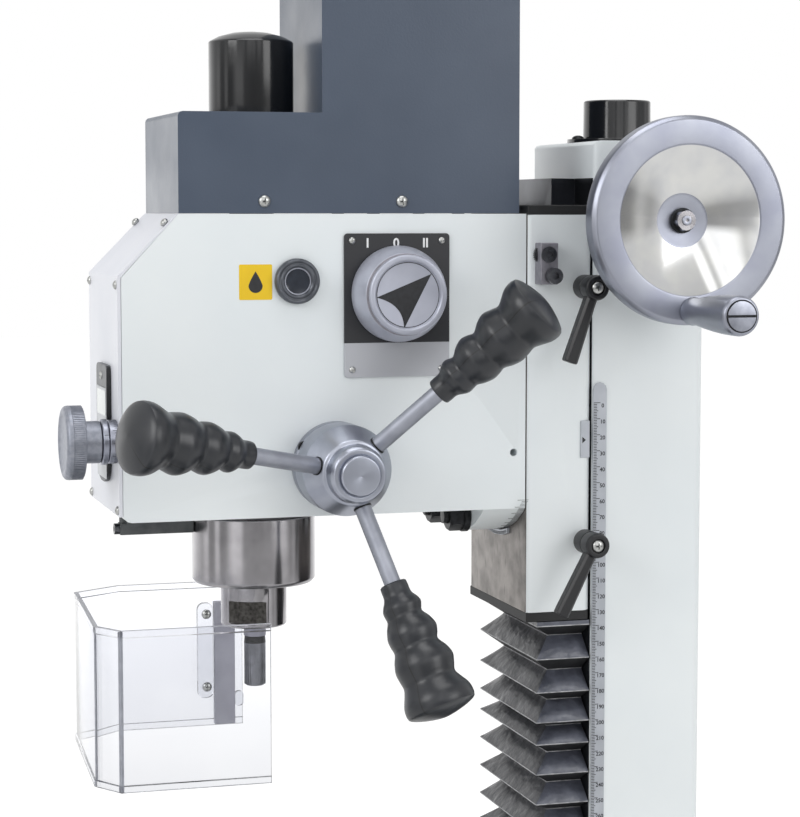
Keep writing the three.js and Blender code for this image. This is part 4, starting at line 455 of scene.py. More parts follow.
# Top cap: a black plastic cover over the end of the lead screw, pressed on a round flange.
# Turned pieces are spun from a profile, with a map that runs round and along the surface.
def softened(profile, radius):
    """A profile whose corners are rounded, as a tool or a mould leaves them."""
    closed = profile[0] == profile[-1]
    points = [Vector((*p, 0)) for p in (profile[:-1] if closed else profile)]
    made = []
    for i, corner in enumerate(points):
        if not closed and i in (0, len(points) - 1):
            made.append(corner)
            continue
        back, ahead = points[i - 1] - corner, points[(i + 1) % len(points)] - corner
        if back.length < 1e-6 or ahead.length < 1e-6 or math.pi - back.angle(ahead) < 0.3:
            made.append(corner)
            continue
        cut = min(radius, back.length * 0.45, ahead.length * 0.45)
        start, end = corner + back.normalized() * cut, corner + ahead.normalized() * cut
        for k in range(4):
            t = k / 3
            made.append(start * (1 - t) ** 2 + corner * 2 * t * (1 - t) + end * t * t)
    if closed:
        made.append(made[0].copy())
    return [(p.x, p.y) for p in made]


def directions(axis):
    """The direction along a named axis or a given vector, and the two directions across it."""
    if isinstance(axis, str):
        along = Vector([1.0 if letter == axis else 0.0 for letter in "xyz"])
        across = Vector((along.y, along.z, along.x))
    else:
        along = Vector(axis).normalized()
        across = along.orthogonal().normalized()
    return along, across, along.cross(across)


def turned(name, axis, profile, centre, material, body, ease=0.5, faces=96, smooth=32, node=None):
    """A piece turned about an axis: a profile of (radius, place along the axis) spun round."""
    along, across, up = directions(axis)
    centre = Vector(centre)
    outline = softened(profile, ease)
    angles = [2 * math.pi * i / faces for i in range(faces)]
    spokes = [across * math.cos(a) + up * math.sin(a) for a in angles]
    shape = bmesh.new()
    layer = shape.loops.layers.uv.new("turning")
    rings, lengths = [], [0.0]
    for k, (radius, place) in enumerate(outline):
        if k:
            lengths.append(lengths[-1] + math.dist(outline[k - 1], outline[k]))
        middle = centre + along * place
        if radius < 1e-6:
            rings.append([shape.verts.new(middle * MM)] * faces)
        else:
            rings.append([shape.verts.new((middle + spoke * radius) * MM) for spoke in spokes])
    if outline[0] == outline[-1]:
        for old in rings[-1]:
            shape.verts.remove(old)
        rings[-1] = rings[0]
    for k in range(len(rings) - 1):
        for i in range(faces):
            j = (i + 1) % faces
            corners = [(rings[k][i], i, k), (rings[k][j], i + 1, k),
                       (rings[k + 1][j], i + 1, k + 1), (rings[k + 1][i], i, k + 1)]
            kept = [c for n, c in enumerate(corners) if c[0] is not corners[n - 1][0]]
            if len(kept) < 3:
                continue
            face = shape.faces.new([c[0] for c in kept])
            for loop, (_, turn, row) in zip(face.loops, kept):
                loop[layer].uv = (turn / faces, lengths[row])
    bmesh.ops.recalc_face_normals(shape, faces=shape.faces)
    piece = skinned(shape, name, material, smooth)
    if body:
        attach(piece, body)
    if node:
        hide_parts(node)
    return piece


# Glossy moulded plastic: black with a soft reflection and a few fine scratches.
black_plastic = made_of("black_moulded_plastic", "#17181b", 0.14, ior=1.52, clouds=("#191a1d", "#121315", 30),
                        bumps=(1.8, 0.01), wear=(15, 0.1, 0.2))
# The lead screw's distance behind the spindle.
SCREW_Y = 240.4
profile = [(18.4, 162), (32, 162), (32, 164.5), (21.8, 164.5), (21.5, 188), (20.6, 189), (0, 189), (0, 186),
           (18.4, 186), (18.4, 162)]
turned("lead_screw_cap", "z", profile, (0, SCREW_Y, ZERO), black_plastic, "stand", 0.4, node="top_cap")
cap_angles = [math.radians(degrees) for degrees in (-90, 30, 150)]
cap_spots = [(26.6 * math.cos(a), SCREW_Y + 26.6 * math.sin(a), ZERO + 164.5) for a in cap_angles]
screws("cap_screws", cap_spots, pan_heads, (4.0, 2.4, 1.9, 1.1), (0, 0, 1), oxide_and_painted_shade, "stand")


# Column scale: an aluminium strip with a rounded top, printed with a millimetre scale.
# The ticks are ink on the strip, longer at every fifth and tenth, with numbers beside them.

# Satin anodised aluminium: pale and even, faintly drawn along the strip, never glaring.
strip_metal = made_of("satin_anodised_aluminium", "#b0b4bb", 0.4, metallic=0.55,
                      clouds=("#b4b8bf", "#a5a9b0", 20), bumps=(0.7, 0.01, (1, 1, 0.05)))
eased_copy("scale_strip", "column_scale", 0.25, strip_metal, "stand")
# Printed ink: flat near-black, a little uneven, so that the marks read as print.
ink = made_of("printed_black_ink", "#1c1d22", 0.55, clouds=("#202126", "#15161a", 3))


def straight_scale_tree():
    """A tree that grows a row of ticks below each point: long, middle and short ones."""
    labels = ("Pitch", "Short", "Middle", "Long", "Line", "Ink")
    tree, given, sizes = open_tree("straight_scale", labels, ("Count",))
    pitch, lengths, middle, tall, line, ink_height = sizes
    step_down = add_node(tree, "ShaderNodeCombineXYZ", {"Z": maths(tree, "MULTIPLY", pitch, -1.0)}).outputs[0]
    run = {"Count": given["Count"], "Offset": step_down}
    row = add_node(tree, "GeometryNodeMeshLine", run, mode="OFFSET").outputs[0]
    bar = add_node(tree, "GeometryNodeMeshCube", {"Size": (1, 1, 1)}).outputs[0]
    beside = {"Geometry": bar, "Translation": (0, 0.5, 0)}
    side_bar = add_node(tree, "GeometryNodeTransform", beside).outputs[0]
    index = add_node(tree, "GeometryNodeInputIndex").outputs[0]
    for step, longer in ((5.0, middle), (10.0, tall)):
        hit = maths(tree, "LESS_THAN", maths(tree, "MODULO", index, step), 0.5)
        lengths = mix(tree, hit, lengths, longer)
    scale = add_node(tree, "ShaderNodeCombineXYZ", {"X": ink_height, "Y": lengths, "Z": line}).outputs[0]
    placing = {"Points": row, "Instance": side_bar, "Scale": scale}
    return spread_out(tree, given, add_node(tree, "GeometryNodeInstanceOnPoints", placing).outputs[0])


STRIP_FACE = 56.8
scale_values = {"Count": 301, "Pitch": 1.0, "Short": 2.2, "Middle": 3.0, "Long": 4.4, "Line": 0.42,
                "Ink": 0.12}
from_tree("scale_ticks", [(STRIP_FACE, 203.9, ZERO)], straight_scale_tree(),
          {**scale_values, "Direction": (0, 0, 1), "Finish": ink}, "stand")


def lettering(name, words, height, place, material, body, weight):
    """Characters as a thin flat mesh on a face towards X: words is a list of (text, shift back, shift up)."""
    right, up = Vector((0, 1, 0)), Vector((0, 0, 1))
    turn = Matrix((right, up, right.cross(up))).transposed().to_4x4()
    shape = bmesh.new()
    for text, side, rise in words:
        curve = bpy.data.curves.new(name, "FONT")
        curve.body = text
        curve.size = height * MM
        curve.align_x = "CENTER"
        curve.align_y = "CENTER"
        curve.extrude = 0.05 * MM
        curve.offset = weight * MM
        curve.resolution_u = 3
        sign = add_object(name + "_sign", curve)
        sign.matrix_world = Matrix.Translation((Vector(place) + right * side + up * rise) * MM) @ turn
        flat = plain_mesh(sign, name + "_flat")
        shape.from_mesh(flat.data)
        bpy.data.objects.remove(flat)
        bpy.data.curves.remove(curve)
    mesh = bpy.data.meshes.new(name)
    shape.to_mesh(mesh)
    shape.free()
    mesh.materials.append(material)
    for face in mesh.polygons:
        face.material_index = 0
    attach(add_object(name, mesh), body)


scale_numbers = [(str(n), 0.3 if n < 100 else 0, -n - 1.9) for n in range(0, 301, 10)]
lettering("scale_numbers", scale_numbers, 3.5, (STRIP_FACE, 209.6, ZERO), ink, "stand", 0.08)


# Handwheel of the column: turned aluminium, the rim satin, the dished web polished bright.
# It is keyed on the crank shaft and held by a hexagon nut on a black washer.

# Satin turned aluminium: soft grey, its grooves pull the light into short streaks.
# The grooves are drawn 0.5 mm apart, coarser than real, so that they show.
satin_alloy = made_of("satin_turned_aluminium", "#9b9ea7", 0.36, metallic=1.0,
                      clouds=("#9ea1ab", "#9093a0", 25), marks=(0.5, 0.006, 0.35))
# Polished turned aluminium: bright, each reflection is drawn out into a fan.
polished = made_of("polished_turned_aluminium", "#d2d2d2", 0.12, metallic=1.0,
                   clouds=("#d6d6d4", "#c9cacc", 20), marks=(0.8, 0.003, 0.82))
# The crank shaft's axis, along X.
CRANK = (0, SCREW_Y, ZERO + 113)


def off_axis(at, centre):
    """How far a place is from a line along X through a centre."""
    return math.hypot(at.y - centre[1], at.z - centre[2])


profile = [(6.3, 93), (15, 93), (15, 98), (43, 107.5), (47, 106), (60.5, 106), (62.5, 108), (62.5, 117.5),
           (60, 120), (45.4, 120), (44.2, 119.2), (16.4, 106.9), (15, 106.7), (6.3, 106.7), (6.3, 93)]
wheel_rim = turned("column_wheel", "x", profile, CRANK, satin_alloy, "z_crank", 0.9, 128, node="z_handwheel")
paint_faces(wheel_rim, polished, lambda at, normal: at.x > 106.8 and 15.8 < off_axis(at, CRANK) < 44.8)
profile = [(5.2, 106.8), (7.6, 106.8), (7.6, 108.6), (5.2, 108.6), (5.2, 106.8)]
turned("wheel_washer", "x", profile, CRANK, oxide_and_painted_shade, "z_crank", 0.3, 48)


def hexagon_nut(name, axis, flats, length, centre, bore, material, body, turn=0.0):
    """A hexagon nut: six flats, with the corners turned off at its outer face."""
    along, across, up = directions(axis)
    corner = flats / math.sqrt(3)

    def spot(place, reach, angle):
        out = across * math.cos(angle + turn) + up * math.sin(angle + turn)
        return shape.verts.new((Vector(centre) + along * place + out * reach) * MM)

    shape = bmesh.new()
    rows = []
    sides = 48
    for place, limit in ((0, corner), (length * 0.82, corner), (length, flats / 2 + 0.1)):
        row = []
        for i in range(sides):
            angle = 2 * math.pi * i / sides
            flat = (flats / 2) / math.cos((angle + math.pi / 6) % (math.pi / 3) - math.pi / 6)
            row.append(spot(place, min(flat, limit), angle))
        rows.append(row)
    for place in (length, 0):
        rows.append([spot(place, bore, 2 * math.pi * i / sides) for i in range(sides)])
    rows.append(rows[0])
    for low, high in zip(rows, rows[1:]):
        for i in range(sides):
            j = (i + 1) % sides
            shape.faces.new((low[i], low[j], high[j], high[i]))
    bmesh.ops.recalc_face_normals(shape, faces=shape.faces)
    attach(skinned(shape, name, material, 25), body)


# Nickel plate: a clear cool shine, a little darker than the zinc.
nut_nickel = made_of("nickel_plated_steel", "#9fa2ad", 0.3, metallic=1.0, clouds=("#a4a7b2", "#9396a1", 5),
                     bumps=(0.6, 0.005))
hexagon_nut("wheel_nut", "x", 11.4, 5, (108.6, CRANK[1], CRANK[2]), 3.9, nut_nickel, "z_crank", 0.2)
profile = [(0, 100), (3.9, 100), (3.9, 112), (3.0, 112.4), (3.0, 114.2), (2.6, 114.6), (1.0, 114.6),
           (1.0, 113.4), (0, 113.4)]
stud = turned("wheel_stud", "x", profile, CRANK, nut_nickel, "z_crank", 0.2, 32)
# The stud's end where it leaves the nut, and the bottom of its centre hole, are painted black as shade.
paint_faces(stud, oxide_and_painted_shade, lambda at, normal: 111.8 < at.x < 114 or at.x < 113.5 and off_axis(at, CRANK) < 1)
handle_at = (0, SCREW_Y + 2, ZERO + 113 - 54)
profile = [(4.3, 120.3), (8.8, 120.3), (8.3, 122), (8.0, 126), (8.5, 132), (9.7, 143), (10.8, 156),
           (11.5, 168), (11.7, 178), (11.7, 186.2), (10.6, 188.6), (4.3, 188.6), (4.3, 120.3)]
turned("wheel_handle", "x", profile, handle_at, satin_alloy, "z_crank_grip", 0.8, node="z_handle")


def slotted_screw(name, radius, start, head, centre, material, body):
    """A cheese head screw along X with a straight slot across its head."""
    profile = [(0, 106.5), (4, 106.5), (4, start), (radius, start), (radius, start + head), (0, start + head)]
    round_part = turned(name + "_round", "x", profile, centre, material, None, 0.4, 64)
    slot_width, slot_depth = 1.5, 0.6
    bar = bmesh.new()
    bmesh.ops.create_cube(bar, size=1.0)
    middle = Matrix.Translation(Vector((start + head, centre[1], centre[2])) * MM)
    size = Matrix.Diagonal((slot_depth * 2 * MM, radius * 3 * MM, slot_width * MM, 1))
    bmesh.ops.transform(bar, matrix=middle @ size, verts=bar.verts)
    bar_mesh = bpy.data.meshes.new(name + "_slot")
    bar.to_mesh(bar_mesh)
    bar.free()
    cutter = add_object(name + "_slot", bar_mesh)
    cut = round_part.modifiers.new("slot", "BOOLEAN")
    cut.operation = "DIFFERENCE"
    cut.object = cutter
    cut.solver = "EXACT"
    piece = plain_mesh(round_part, name)
    bpy.data.objects.remove(cutter)
    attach(piece, body)
    return piece


handle_bolt = slotted_screw("handle_screw", 8.7, 188.7, 0.7, handle_at, nut_nickel, "z_crank")
# The screw head's rim and its slot are painted black as shade.
paint_faces(handle_bolt, oxide_and_painted_shade, lambda at, normal: 188 < at.x < 189.3
            and (normal.x > 0.9 or abs(normal.x) < 0.3))
# A thin black ring round the screw head: painted shade in the gap to the handle.
profile = [(8.75, 188.62), (8.75, 188.8), (9.5, 188.8), (9.5, 188.62), (8.75, 188.62)]
turned("handle_screw_shade_ring", "x", profile, handle_at, oxide_and_painted_shade, "z_crank", 0.02, 96)
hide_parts("z_handle_bolt")
profile = [(8.4, 38), (14, 38), (14, 56), (25, 56), (25, 66), (18, 66), (18, 91), (8.4, 91), (8.4, 38)]
turned("crank_bearing_housing", "x", profile, CRANK, oxide_and_painted_shade, "stand", 1.2, 72, node="crank_bearing")


# Head slide: a casting on the dovetail, enamelled outside, its front face scraped bare iron.
# Rubber wipers in steel holders close its top and bottom against the way.

# Scraped iron: crossed dabs about 7 mm across, which catch the light one by one.
scraped, scraped_tree, scraped_surface = new_material("scraped_cast_iron", "#8a8582", 0.42, metallic=0.75)
scraped_place = mottle(scraped_tree, scraped_surface, "#96918d", "#6d6966", 14)
scraped_laid = add_node(scraped_tree, "ShaderNodeMapping", {"Vector": scraped_place, "Scale": (1, 1, 0.45)})
dab_values = {"Vector": scraped_laid.outputs[0], "Scale": 1 / (7 * MM), "Randomness": 0.75}
dabs = add_node(scraped_tree, "ShaderNodeTexVoronoi", dab_values, feature="F1")
dab_edge = ranged(scraped_tree, dabs.outputs["Distance"], 0.12, 0.3)
dab_depth = {"Strength": 0.8, "Distance": 0.05 * MM, "Height": dab_edge}
scraped_tree.links.new(add_node(scraped_tree, "ShaderNodeBump", dab_depth).outputs[0],
                       scraped_surface.inputs["Normal"])
stroke_turn = {"Vector": scraped_place, "Rotation": (0, 0.6, 0), "Scale": (1, 1, 0.35)}
stroke_laid = add_node(scraped_tree, "ShaderNodeMapping", stroke_turn)
stroke_values = {"Vector": stroke_laid.outputs[0], "Scale": 1 / (6 * MM), "Randomness": 0.8}
strokes = add_node(scraped_tree, "ShaderNodeTexVoronoi", stroke_values, feature="SMOOTH_F1")
stroke_mask = ranged(scraped_tree, strokes.outputs["Distance"], 0.08, 0.24, 0.62, 1.0)
scraped_cloud = scraped_surface.inputs["Base Color"].links[0].from_socket
stroke_mix = mix(scraped_tree, stroke_mask, linear("#3f3b39"), scraped_cloud, "RGBA")
scraped_tree.links.new(stroke_mix, scraped_surface.inputs["Base Color"])


def nearer_column(shape):
    """Brings the slide's rear face up to the column, with a running gap left."""
    for corner in shape.verts:
        if abs(corner.co.y / MM - 201.3) < 0.05 and abs(corner.co.x) / MM > 50:
            corner.co.y = 202.3 * MM


saddle = eased_copy("saddle_casting", "saddle", 0.8, enamel, "head_slide", adjust=nearer_column)
paint_faces(saddle, scraped, lambda at, normal: normal.y < -0.9 and at.y < 162)
paint_faces(saddle, ground, lambda at, normal: abs(at.x) < 36 and at.y > 180)
# Wiper rubber: matt black with a dusty grain, seen as a dark line between slide and way.
rubber = made_of("black_wiper_rubber", "#121314", 0.6, clouds=("#151618", "#0e0f10", 8), bumps=(0.8, 0.02))
for node in ("upper_wiper", "lower_wiper"):
    eased_copy(node + "_strip", node, 0.6, rubber, "head_slide")
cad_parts["leadscrew_nut"].data.materials[0] = ground


# Lock levers: black moulded levers that clamp the slide, each on a stud turning in the slide.
# A cross-slotted screw sits in the hub's face; the arm is eight-sided and widens outwards.
def from_shape(shape, name, material, body, edge=0.0, smooth=35):
    """Turns a bmesh into a finished piece: edge is the rounding of its sharp edges."""
    bmesh.ops.recalc_face_normals(shape, faces=shape.faces)
    piece = skinned(shape, name, material, smooth)
    if edge:
        piece = ease_edges(piece, name, edge, smooth, "MITER_SHARP")
    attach(piece, body)
    return piece


def lofted(name, rings, material, body, edge=0.0, smooth=35):
    """A skin through rings of points in millimetres, closed at both ends."""
    shape = bmesh.new()
    rows = [[shape.verts.new(Vector(p) * MM) for p in ring] for ring in rings]
    for low, high in zip(rows, rows[1:]):
        for i in range(len(low)):
            j = (i + 1) % len(low)
            shape.faces.new((low[i], low[j], high[j], high[i]))
    shape.faces.new(rows[0][::-1])
    shape.faces.new(rows[-1])
    return from_shape(shape, name, material, body, edge, smooth)


# Spark-textured nylon: a dull black skin that breaks up every highlight.
textured = made_of("textured_black_nylon", "#121316", 0.42, ior=1.53, clouds=("#141519", "#0f1013", 6),
                   bumps=(0.9, 0.05))
levers = (("upper_lock_lever", "upper_lever", 195, 72.3, -109),
          ("lower_lock_lever", "lower_lever", 196.5, -85.5, -117))
for lever, body, spot_y, spot_z, degrees in levers:
    axis_at = (0, spot_y, ZERO + spot_z)
    profile = [(3.2, 60.9), (6.9, 61), (7.5, 62), (7.5, 73), (6.9, 73.5), (7.5, 74.2), (7.8, 84), (7.0, 86),
               (4.4, 86), (4.4, 84.6), (0, 84.6), (0, 61.5), (3.2, 60.9)]
    turned(lever + "_hub", "x", profile, axis_at, textured, body, 0.5, 64, node=lever)
    profile = [(0, 38), (3.2, 38), (3.2, 61.4), (0, 61.4)]
    turned(lever + "_stud", "x", profile, axis_at, zinc, body, 0.2, 32)
    angle = math.radians(degrees)
    out, side = Vector((0, math.cos(angle), math.sin(angle))), Vector((0, -math.sin(angle), math.cos(angle)))
    rings = []
    cut = 1.7
    sections = ((2, 3.5, 4.6), (12, 3.6, 4.5), (44, 4.3, 4.4), (47.4, 4.3, 4.3), (48, 3.8, 3.9))
    for reach, half, thick in sections:
        middle = Vector((78.5, spot_y, ZERO + spot_z)) + out * reach
        corners = [(half, thick - cut), (half - cut, thick), (cut - half, thick), (-half, thick - cut),
                   (-half, cut - thick), (cut - half, -thick), (half - cut, -thick), (half, cut - thick)]
        rings.append([middle + side * s + Vector((x, 0, 0)) for s, x in corners])
    lofted(lever + "_arm", rings, textured, body, 0.35, 25)
    screws(lever + "_screw", [(84.6, spot_y, ZERO + spot_z)], pan_heads, (4.0, 2.2, 2.0, 1.2), (1, 0, 0),
           zinc, body)


# Stop block: a grey steel block beside the slide with two cap screws and a knurled thumb wheel.
# The lower screw stands out on its thread, so that the stop can be set.
def ring_tree():
    """A tree that sets bars round a circle, for knurls and graduations, about a direction."""
    labels = ("Radius", "Length", "Long length", "Width", "Height")
    tree, given, sizes = open_tree("ring_of_bars", labels, ("Count", "Long every"), ("Start", "Step"))
    radius, length, long_length, width, height = sizes
    row = add_node(tree, "GeometryNodeMeshLine", {"Count": given["Count"]}, mode="OFFSET").outputs[0]
    index = add_node(tree, "GeometryNodeInputIndex").outputs[0]
    degrees = maths(tree, "ADD", given["Start"], maths(tree, "MULTIPLY", index, given["Step"]))
    angle = maths(tree, "MULTIPLY", degrees, math.pi / 180)
    out, side = (maths(tree, "MULTIPLY", maths(tree, kind, angle), radius) for kind in ("COSINE", "SINE"))
    place = add_node(tree, "ShaderNodeCombineXYZ", {"X": out, "Y": side}).outputs[0]
    laid = add_node(tree, "GeometryNodeSetPosition", {"Geometry": row, "Position": place}).outputs[0]
    bar = shifted(tree, add_node(tree, "GeometryNodeMeshCube", {"Size": (1, 1, 1)}).outputs[0], 0.5)
    long_bar = maths(tree, "LESS_THAN", maths(tree, "MODULO", index, given["Long every"]), 0.5)
    reach = mix(tree, long_bar, length, long_length)
    scale = add_node(tree, "ShaderNodeCombineXYZ", {"X": height, "Y": width, "Z": reach}).outputs[0]
    facing = add_node(tree, "ShaderNodeCombineXYZ", {"Z": angle}).outputs[0]
    placing = {"Points": laid, "Instance": bar, "Rotation": facing, "Scale": scale}
    return spread_out(tree, given, add_node(tree, "GeometryNodeInstanceOnPoints", placing).outputs[0])


ring_of_bars = ring_tree()


def bars(name, place, count, radius, lengths, width, height, start, step, direction, finish, body,
         long_every=1000):
    """Bars round a circle: lengths of the short and the long ones, start and step in degrees."""
    values = {"Count": count, "Long every": long_every, "Radius": radius, "Length": lengths[0],
              "Long length": lengths[1], "Width": width, "Height": height, "Start": start, "Step": step}
    from_tree(name, [place], ring_of_bars, {**values, "Direction": direction, "Finish": finish}, body)


# Knurled aluminium: dull grey between its teeth; the teeth are bars of their own.
knurled = made_of("knurled_aluminium", "#92959f", 0.46, metallic=0.8, clouds=("#989ba5", "#868a94", 3))
# Phosphated steel: a warm matt grey, faintly drawn across its height. The same grey is painted in the speed
# knob's groove as shade.
block_steel_and_groove_shade = made_of("grey_phosphated_steel_and_groove_shade", "#8a8890", 0.45, metallic=0.45,
                      clouds=("#908e96", "#7c7b83", 5), bumps=(0.8, 0.02, (1, 1, 0.2)))
eased_copy("stop_block_body", "stop_block", 0.6, block_steel_and_groove_shade, "head_slide")
# Blued steel: dark and clean, bright where the light meets an edge.
blued = made_of("blued_steel", "#5f6064", 0.3, metallic=1.0, clouds=("#66676b", "#505155", 2.5),
                bumps=(0.6, 0.01))
screws("stop_block_screw", [(67, 169.9, ZERO + 92.3)], cap_heads, (4.9, 1.4, 2.5, 1.3), (1, 0, 0), blued,
       "head_slide")
screws("stop_setting_screw", [(68.4, 172.2, ZERO + 79.3)], cap_heads, (4.9, 5.0, 2.5, 2.8), (1, 0, 0), blued,
       "head_slide")
thread_profile = [(0, 65.5)] + [(3.3 - 0.45 * (k % 2), 65.9 + k * 0.5) for k in range(6)] + [(0, 68.6)]
turned("stop_setting_thread", "x", thread_profile, (0, 172.2, ZERO + 79.3), oxide_and_painted_shade, "head_slide", 0.05, 32)
block_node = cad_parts["stop_block"]
block_front = min((block_node.matrix_world @ Vector(corner)).y for corner in block_node.bound_box) / MM
profile = [(0, 57), (5.6, 57), (6.1, 57.5), (6.1, 60.5), (5.6, 61), (0, 61)]
turned("stop_thumb_wheel", "x", profile, (0, block_front + 4.9, ZERO + 92), oxide_and_painted_shade, "head_slide", 0.2, 64)
bars("stop_thumb_knurl", (57.2, block_front + 4.9, ZERO + 92), 34, 6.1, (3.6, 3.6), 0.6, 0.7, 0.0, 360 / 34,
     (1, 0, 0), oxide_and_painted_shade, "head_slide")


# Scale pointer and tilt scale: a small plate with a printed arrow beside the column scale,
# and the curved plate under the head with its degree ticks, beside the ticks on the flange.
def prism(name, outline, start, end, material, body, edge=0.0, axis="x"):
    """A flat piece: an outline of two coordinates, extruded from start to end along the axis."""
    def spot(pair, place):
        return {"x": (place, *pair), "y": (pair[0], place, pair[1]), "z": (*pair, place)}[axis]

    shape = bmesh.new()
    low, high = ([shape.verts.new(Vector(spot(pair, place)) * MM) for pair in outline]
                 for place in (start, end))
    shape.faces.new(low[::-1])
    shape.faces.new(high)
    for i in range(len(outline)):
        j = (i + 1) % len(outline)
        shape.faces.new((low[i], low[j], high[j], high[i]))
    return from_shape(shape, name, material, body, edge)


def rounded_box(low, high, radius, steps=5):
    """The outline of a box with rounded corners, from its low and high corners."""
    points = []
    for k, (x, y) in enumerate(((high[0], high[1]), (low[0], high[1]), (low[0], low[1]), (high[0], low[1]))):
        centre = (x - math.copysign(radius, x - (low[0] + high[0]) / 2),
                  y - math.copysign(radius, y - (low[1] + high[1]) / 2))
        for s in range(steps + 1):
            angle = math.pi / 2 * (k + s / steps)
            points.append((centre[0] + radius * math.cos(angle), centre[1] + radius * math.sin(angle)))
    return points


eased_copy("pointer_plate", "scale_pointer", 0.25, strip_metal, "head_slide")
prism("pointer_arrow", [(196.4, ZERO - 21), (196.4, ZERO - 25), (198.8, ZERO - 23)], 56.98, 57.06, ink,
      "head_slide")
eased_copy("tilt_scale_plate", "tilt_index_plate", 0.3, strip_metal, "head_slide")
bars("tilt_plate_ticks", (0, 158.25, ZERO + 2), 31, 88.2, (0.1, 0.1), 0.3, 2.0, -105.0, 1.0, (0, -1, 0), ink,
     "head_slide", 5)
bars("tilt_flange_ticks", (0, 159.8, ZERO + 2), 91, 85.72, (4.0, 7.0), 0.3, 0.12, -135.0, 1.0, (0, -1, 0),
     ink, "tilt_head", 5)
for side_x in (-20, 20):
    nut_name = "tilt_nut_right" if side_x > 0 else "tilt_nut_left"
    hexagon_nut(nut_name, (0, -1, 0), 17, 9, (side_x, 129, ZERO - 72), 5, oxide_and_painted_shade, "tilt_head", 0.3)
    profile = [(0, 117), (4.2, 117), (5, 117.8), (5, 133.2), (0, 133.2)]
    turned(nut_name + "_stud", "y", profile, (side_x, 0, ZERO - 72), oxide_and_painted_shade, "tilt_head", 0.2, 32)
    profile = [(5.1, 129), (10.4, 129), (10.4, 132.9), (5.1, 132.9), (5.1, 129)]
    turned(nut_name + "_washer", "y", profile, (side_x, 0, ZERO - 72), oxide_and_painted_shade, "tilt_head", 0.4, 48)


# Bellows: pleated rubber cloth round the front of the way, hung from the slide down to the foot.
# Its folds are stitched edges; each pleat sags a little, and the side panels puff outwards.

# Rubber-coated cloth: charcoal with a soft shine, broad sags and a fine weave. The weave is
# drawn 1.2 mm wide, coarser than real, so that it shows.
cloth, cloth_tree, cloth_surface = new_material("rubber_coated_cloth", "#45464a", 0.36, ior=1.52)
cloth_place = mottle(cloth_tree, cloth_surface, "#4b4c50", "#37383c", 12)
cloth_normal = {}
for size, depth, detail in ((6, 0.9, 2), (1.2, 0.05, 3)):
    pattern = {"Vector": cloth_place, "Scale": 1 / (size * MM), "Detail": detail}
    height = add_node(cloth_tree, "ShaderNodeTexNoise", pattern).outputs[0]
    relief = {"Strength": 1.0, "Distance": depth * MM, "Height": height, **cloth_normal}
    cloth_normal = {"Normal": add_node(cloth_tree, "ShaderNodeBump", relief).outputs[0]}
cloth_tree.links.new(cloth_normal["Normal"], cloth_surface.inputs["Normal"])
worn(cloth_tree, cloth_surface, cloth_place, 12, 0.28, 0.44)
# The same cloth on the sides' upward faces, painted paler as light falling on them, and a little shinier.
cloth_side_lit = made_of("side_cloth_painted_light", "#565964", 0.28, ior=1.52, clouds=("#5f626d", "#484b55", 9),
                     bumps=(5, 0.7))
# The same cloth under each fold, painted near black as shade: it gives the pleats their depth.
cloth_shade = made_of("cloth_painted_shade", "#1b1c1e", 0.6, ior=1.5, clouds=("#202123", "#151617", 10),
                      bumps=(3, 0.3))
# A painted highlight on the edge of each fold and crease: pale, it draws the light lines across the bellows.
fold_highlight = made_of("fold_edge_painted_highlight", "#a4a5a8", 0.42, ior=1.5, clouds=("#b0b1b4", "#6f7074", 5))
folds = [-139.1, -160.0, -181.0, -200.0, -214.0, -233.0, -252.0, -271.0]
while folds[-1] > -590:
    folds.append(folds[-1] - 18.25 - 1.3 * math.sin(2.1 * len(folds)))
lowest = -603.7
side_steps, front_steps = 10, 26


def bellows_ring(half, front, z, puff, ripple, seed):
    """One turn round the column's front: half its width, where its front lies, and its puff."""
    points = []
    rear = 202.4
    spans = [((half, rear), (half, front), side_steps, (1, 0)),
             ((half, front), (-half, front), front_steps, (0, -1)),
             ((-half, front), (-half, rear), side_steps, (-1, 0))]
    for start, end, count, out in spans:
        for k in range(count):
            t = k / count
            swell = puff * math.sin(math.pi * t) ** 0.5 * (1.0 if out[0] else 0.35)
            swell += ripple * noise.noise(Vector((t * 5.0, seed * 3.7, out[0] * 9.0)))
            x, y = (start[n] + (end[n] - start[n]) * t + out[n] * swell for n in (0, 1))
            points.append(Vector((x, y, ZERO + z)))
    points.append(Vector((-half, rear, ZERO + z)))
    return points


rows, finishes = [bellows_ring(55.4, 167.9, -136.4, 0, 0, 0)], []
for number, fold in enumerate(folds):
    after = folds[number + 1] if number + 1 < len(folds) else lowest
    crease = fold + (after - fold) * (0.38 + 0.05 * math.sin(number * 1.7))
    for level, finish in ((fold + 0.32, 0), (fold - 0.32, 1)):
        rows.append(bellows_ring(55.6, 167.6, level, 0, 0.0, number))
        finishes.append(finish)
    for share in (0.25, 0.5, 0.75, 1.0):
        arch, level = math.sin(math.pi * share), fold - 0.32 + (crease - fold + 0.32) * share
        rows.append(bellows_ring(55.4 - 13.4 * share, 167.9 + 11.6 * share, level, 0.5 * arch, 0.9 * arch,
                                 number + 0.5))
        finishes.append(2)
    rows.append(bellows_ring(42.3, 179.2, crease - 0.5, 0, 0, number))
    finishes.append(1)
    for share in (0.2, 0.4, 0.6, 0.8):
        arch, level = math.sin(math.pi * share), crease - 0.5 + (after + 0.82 - crease) * share
        rows.append(bellows_ring(42 + 13.4 * share, 179.5 - 11.6 * share, level, 4.2 * arch, 1.4 * arch,
                                 number))
        finishes.append(0)
rows.append(bellows_ring(55.4, 167.9, lowest + 0.5, 0, 0, 0))
finishes.append(0)
sheet = bmesh.new()
sheet_rows = [[sheet.verts.new(point * MM) for point in row] for row in rows]
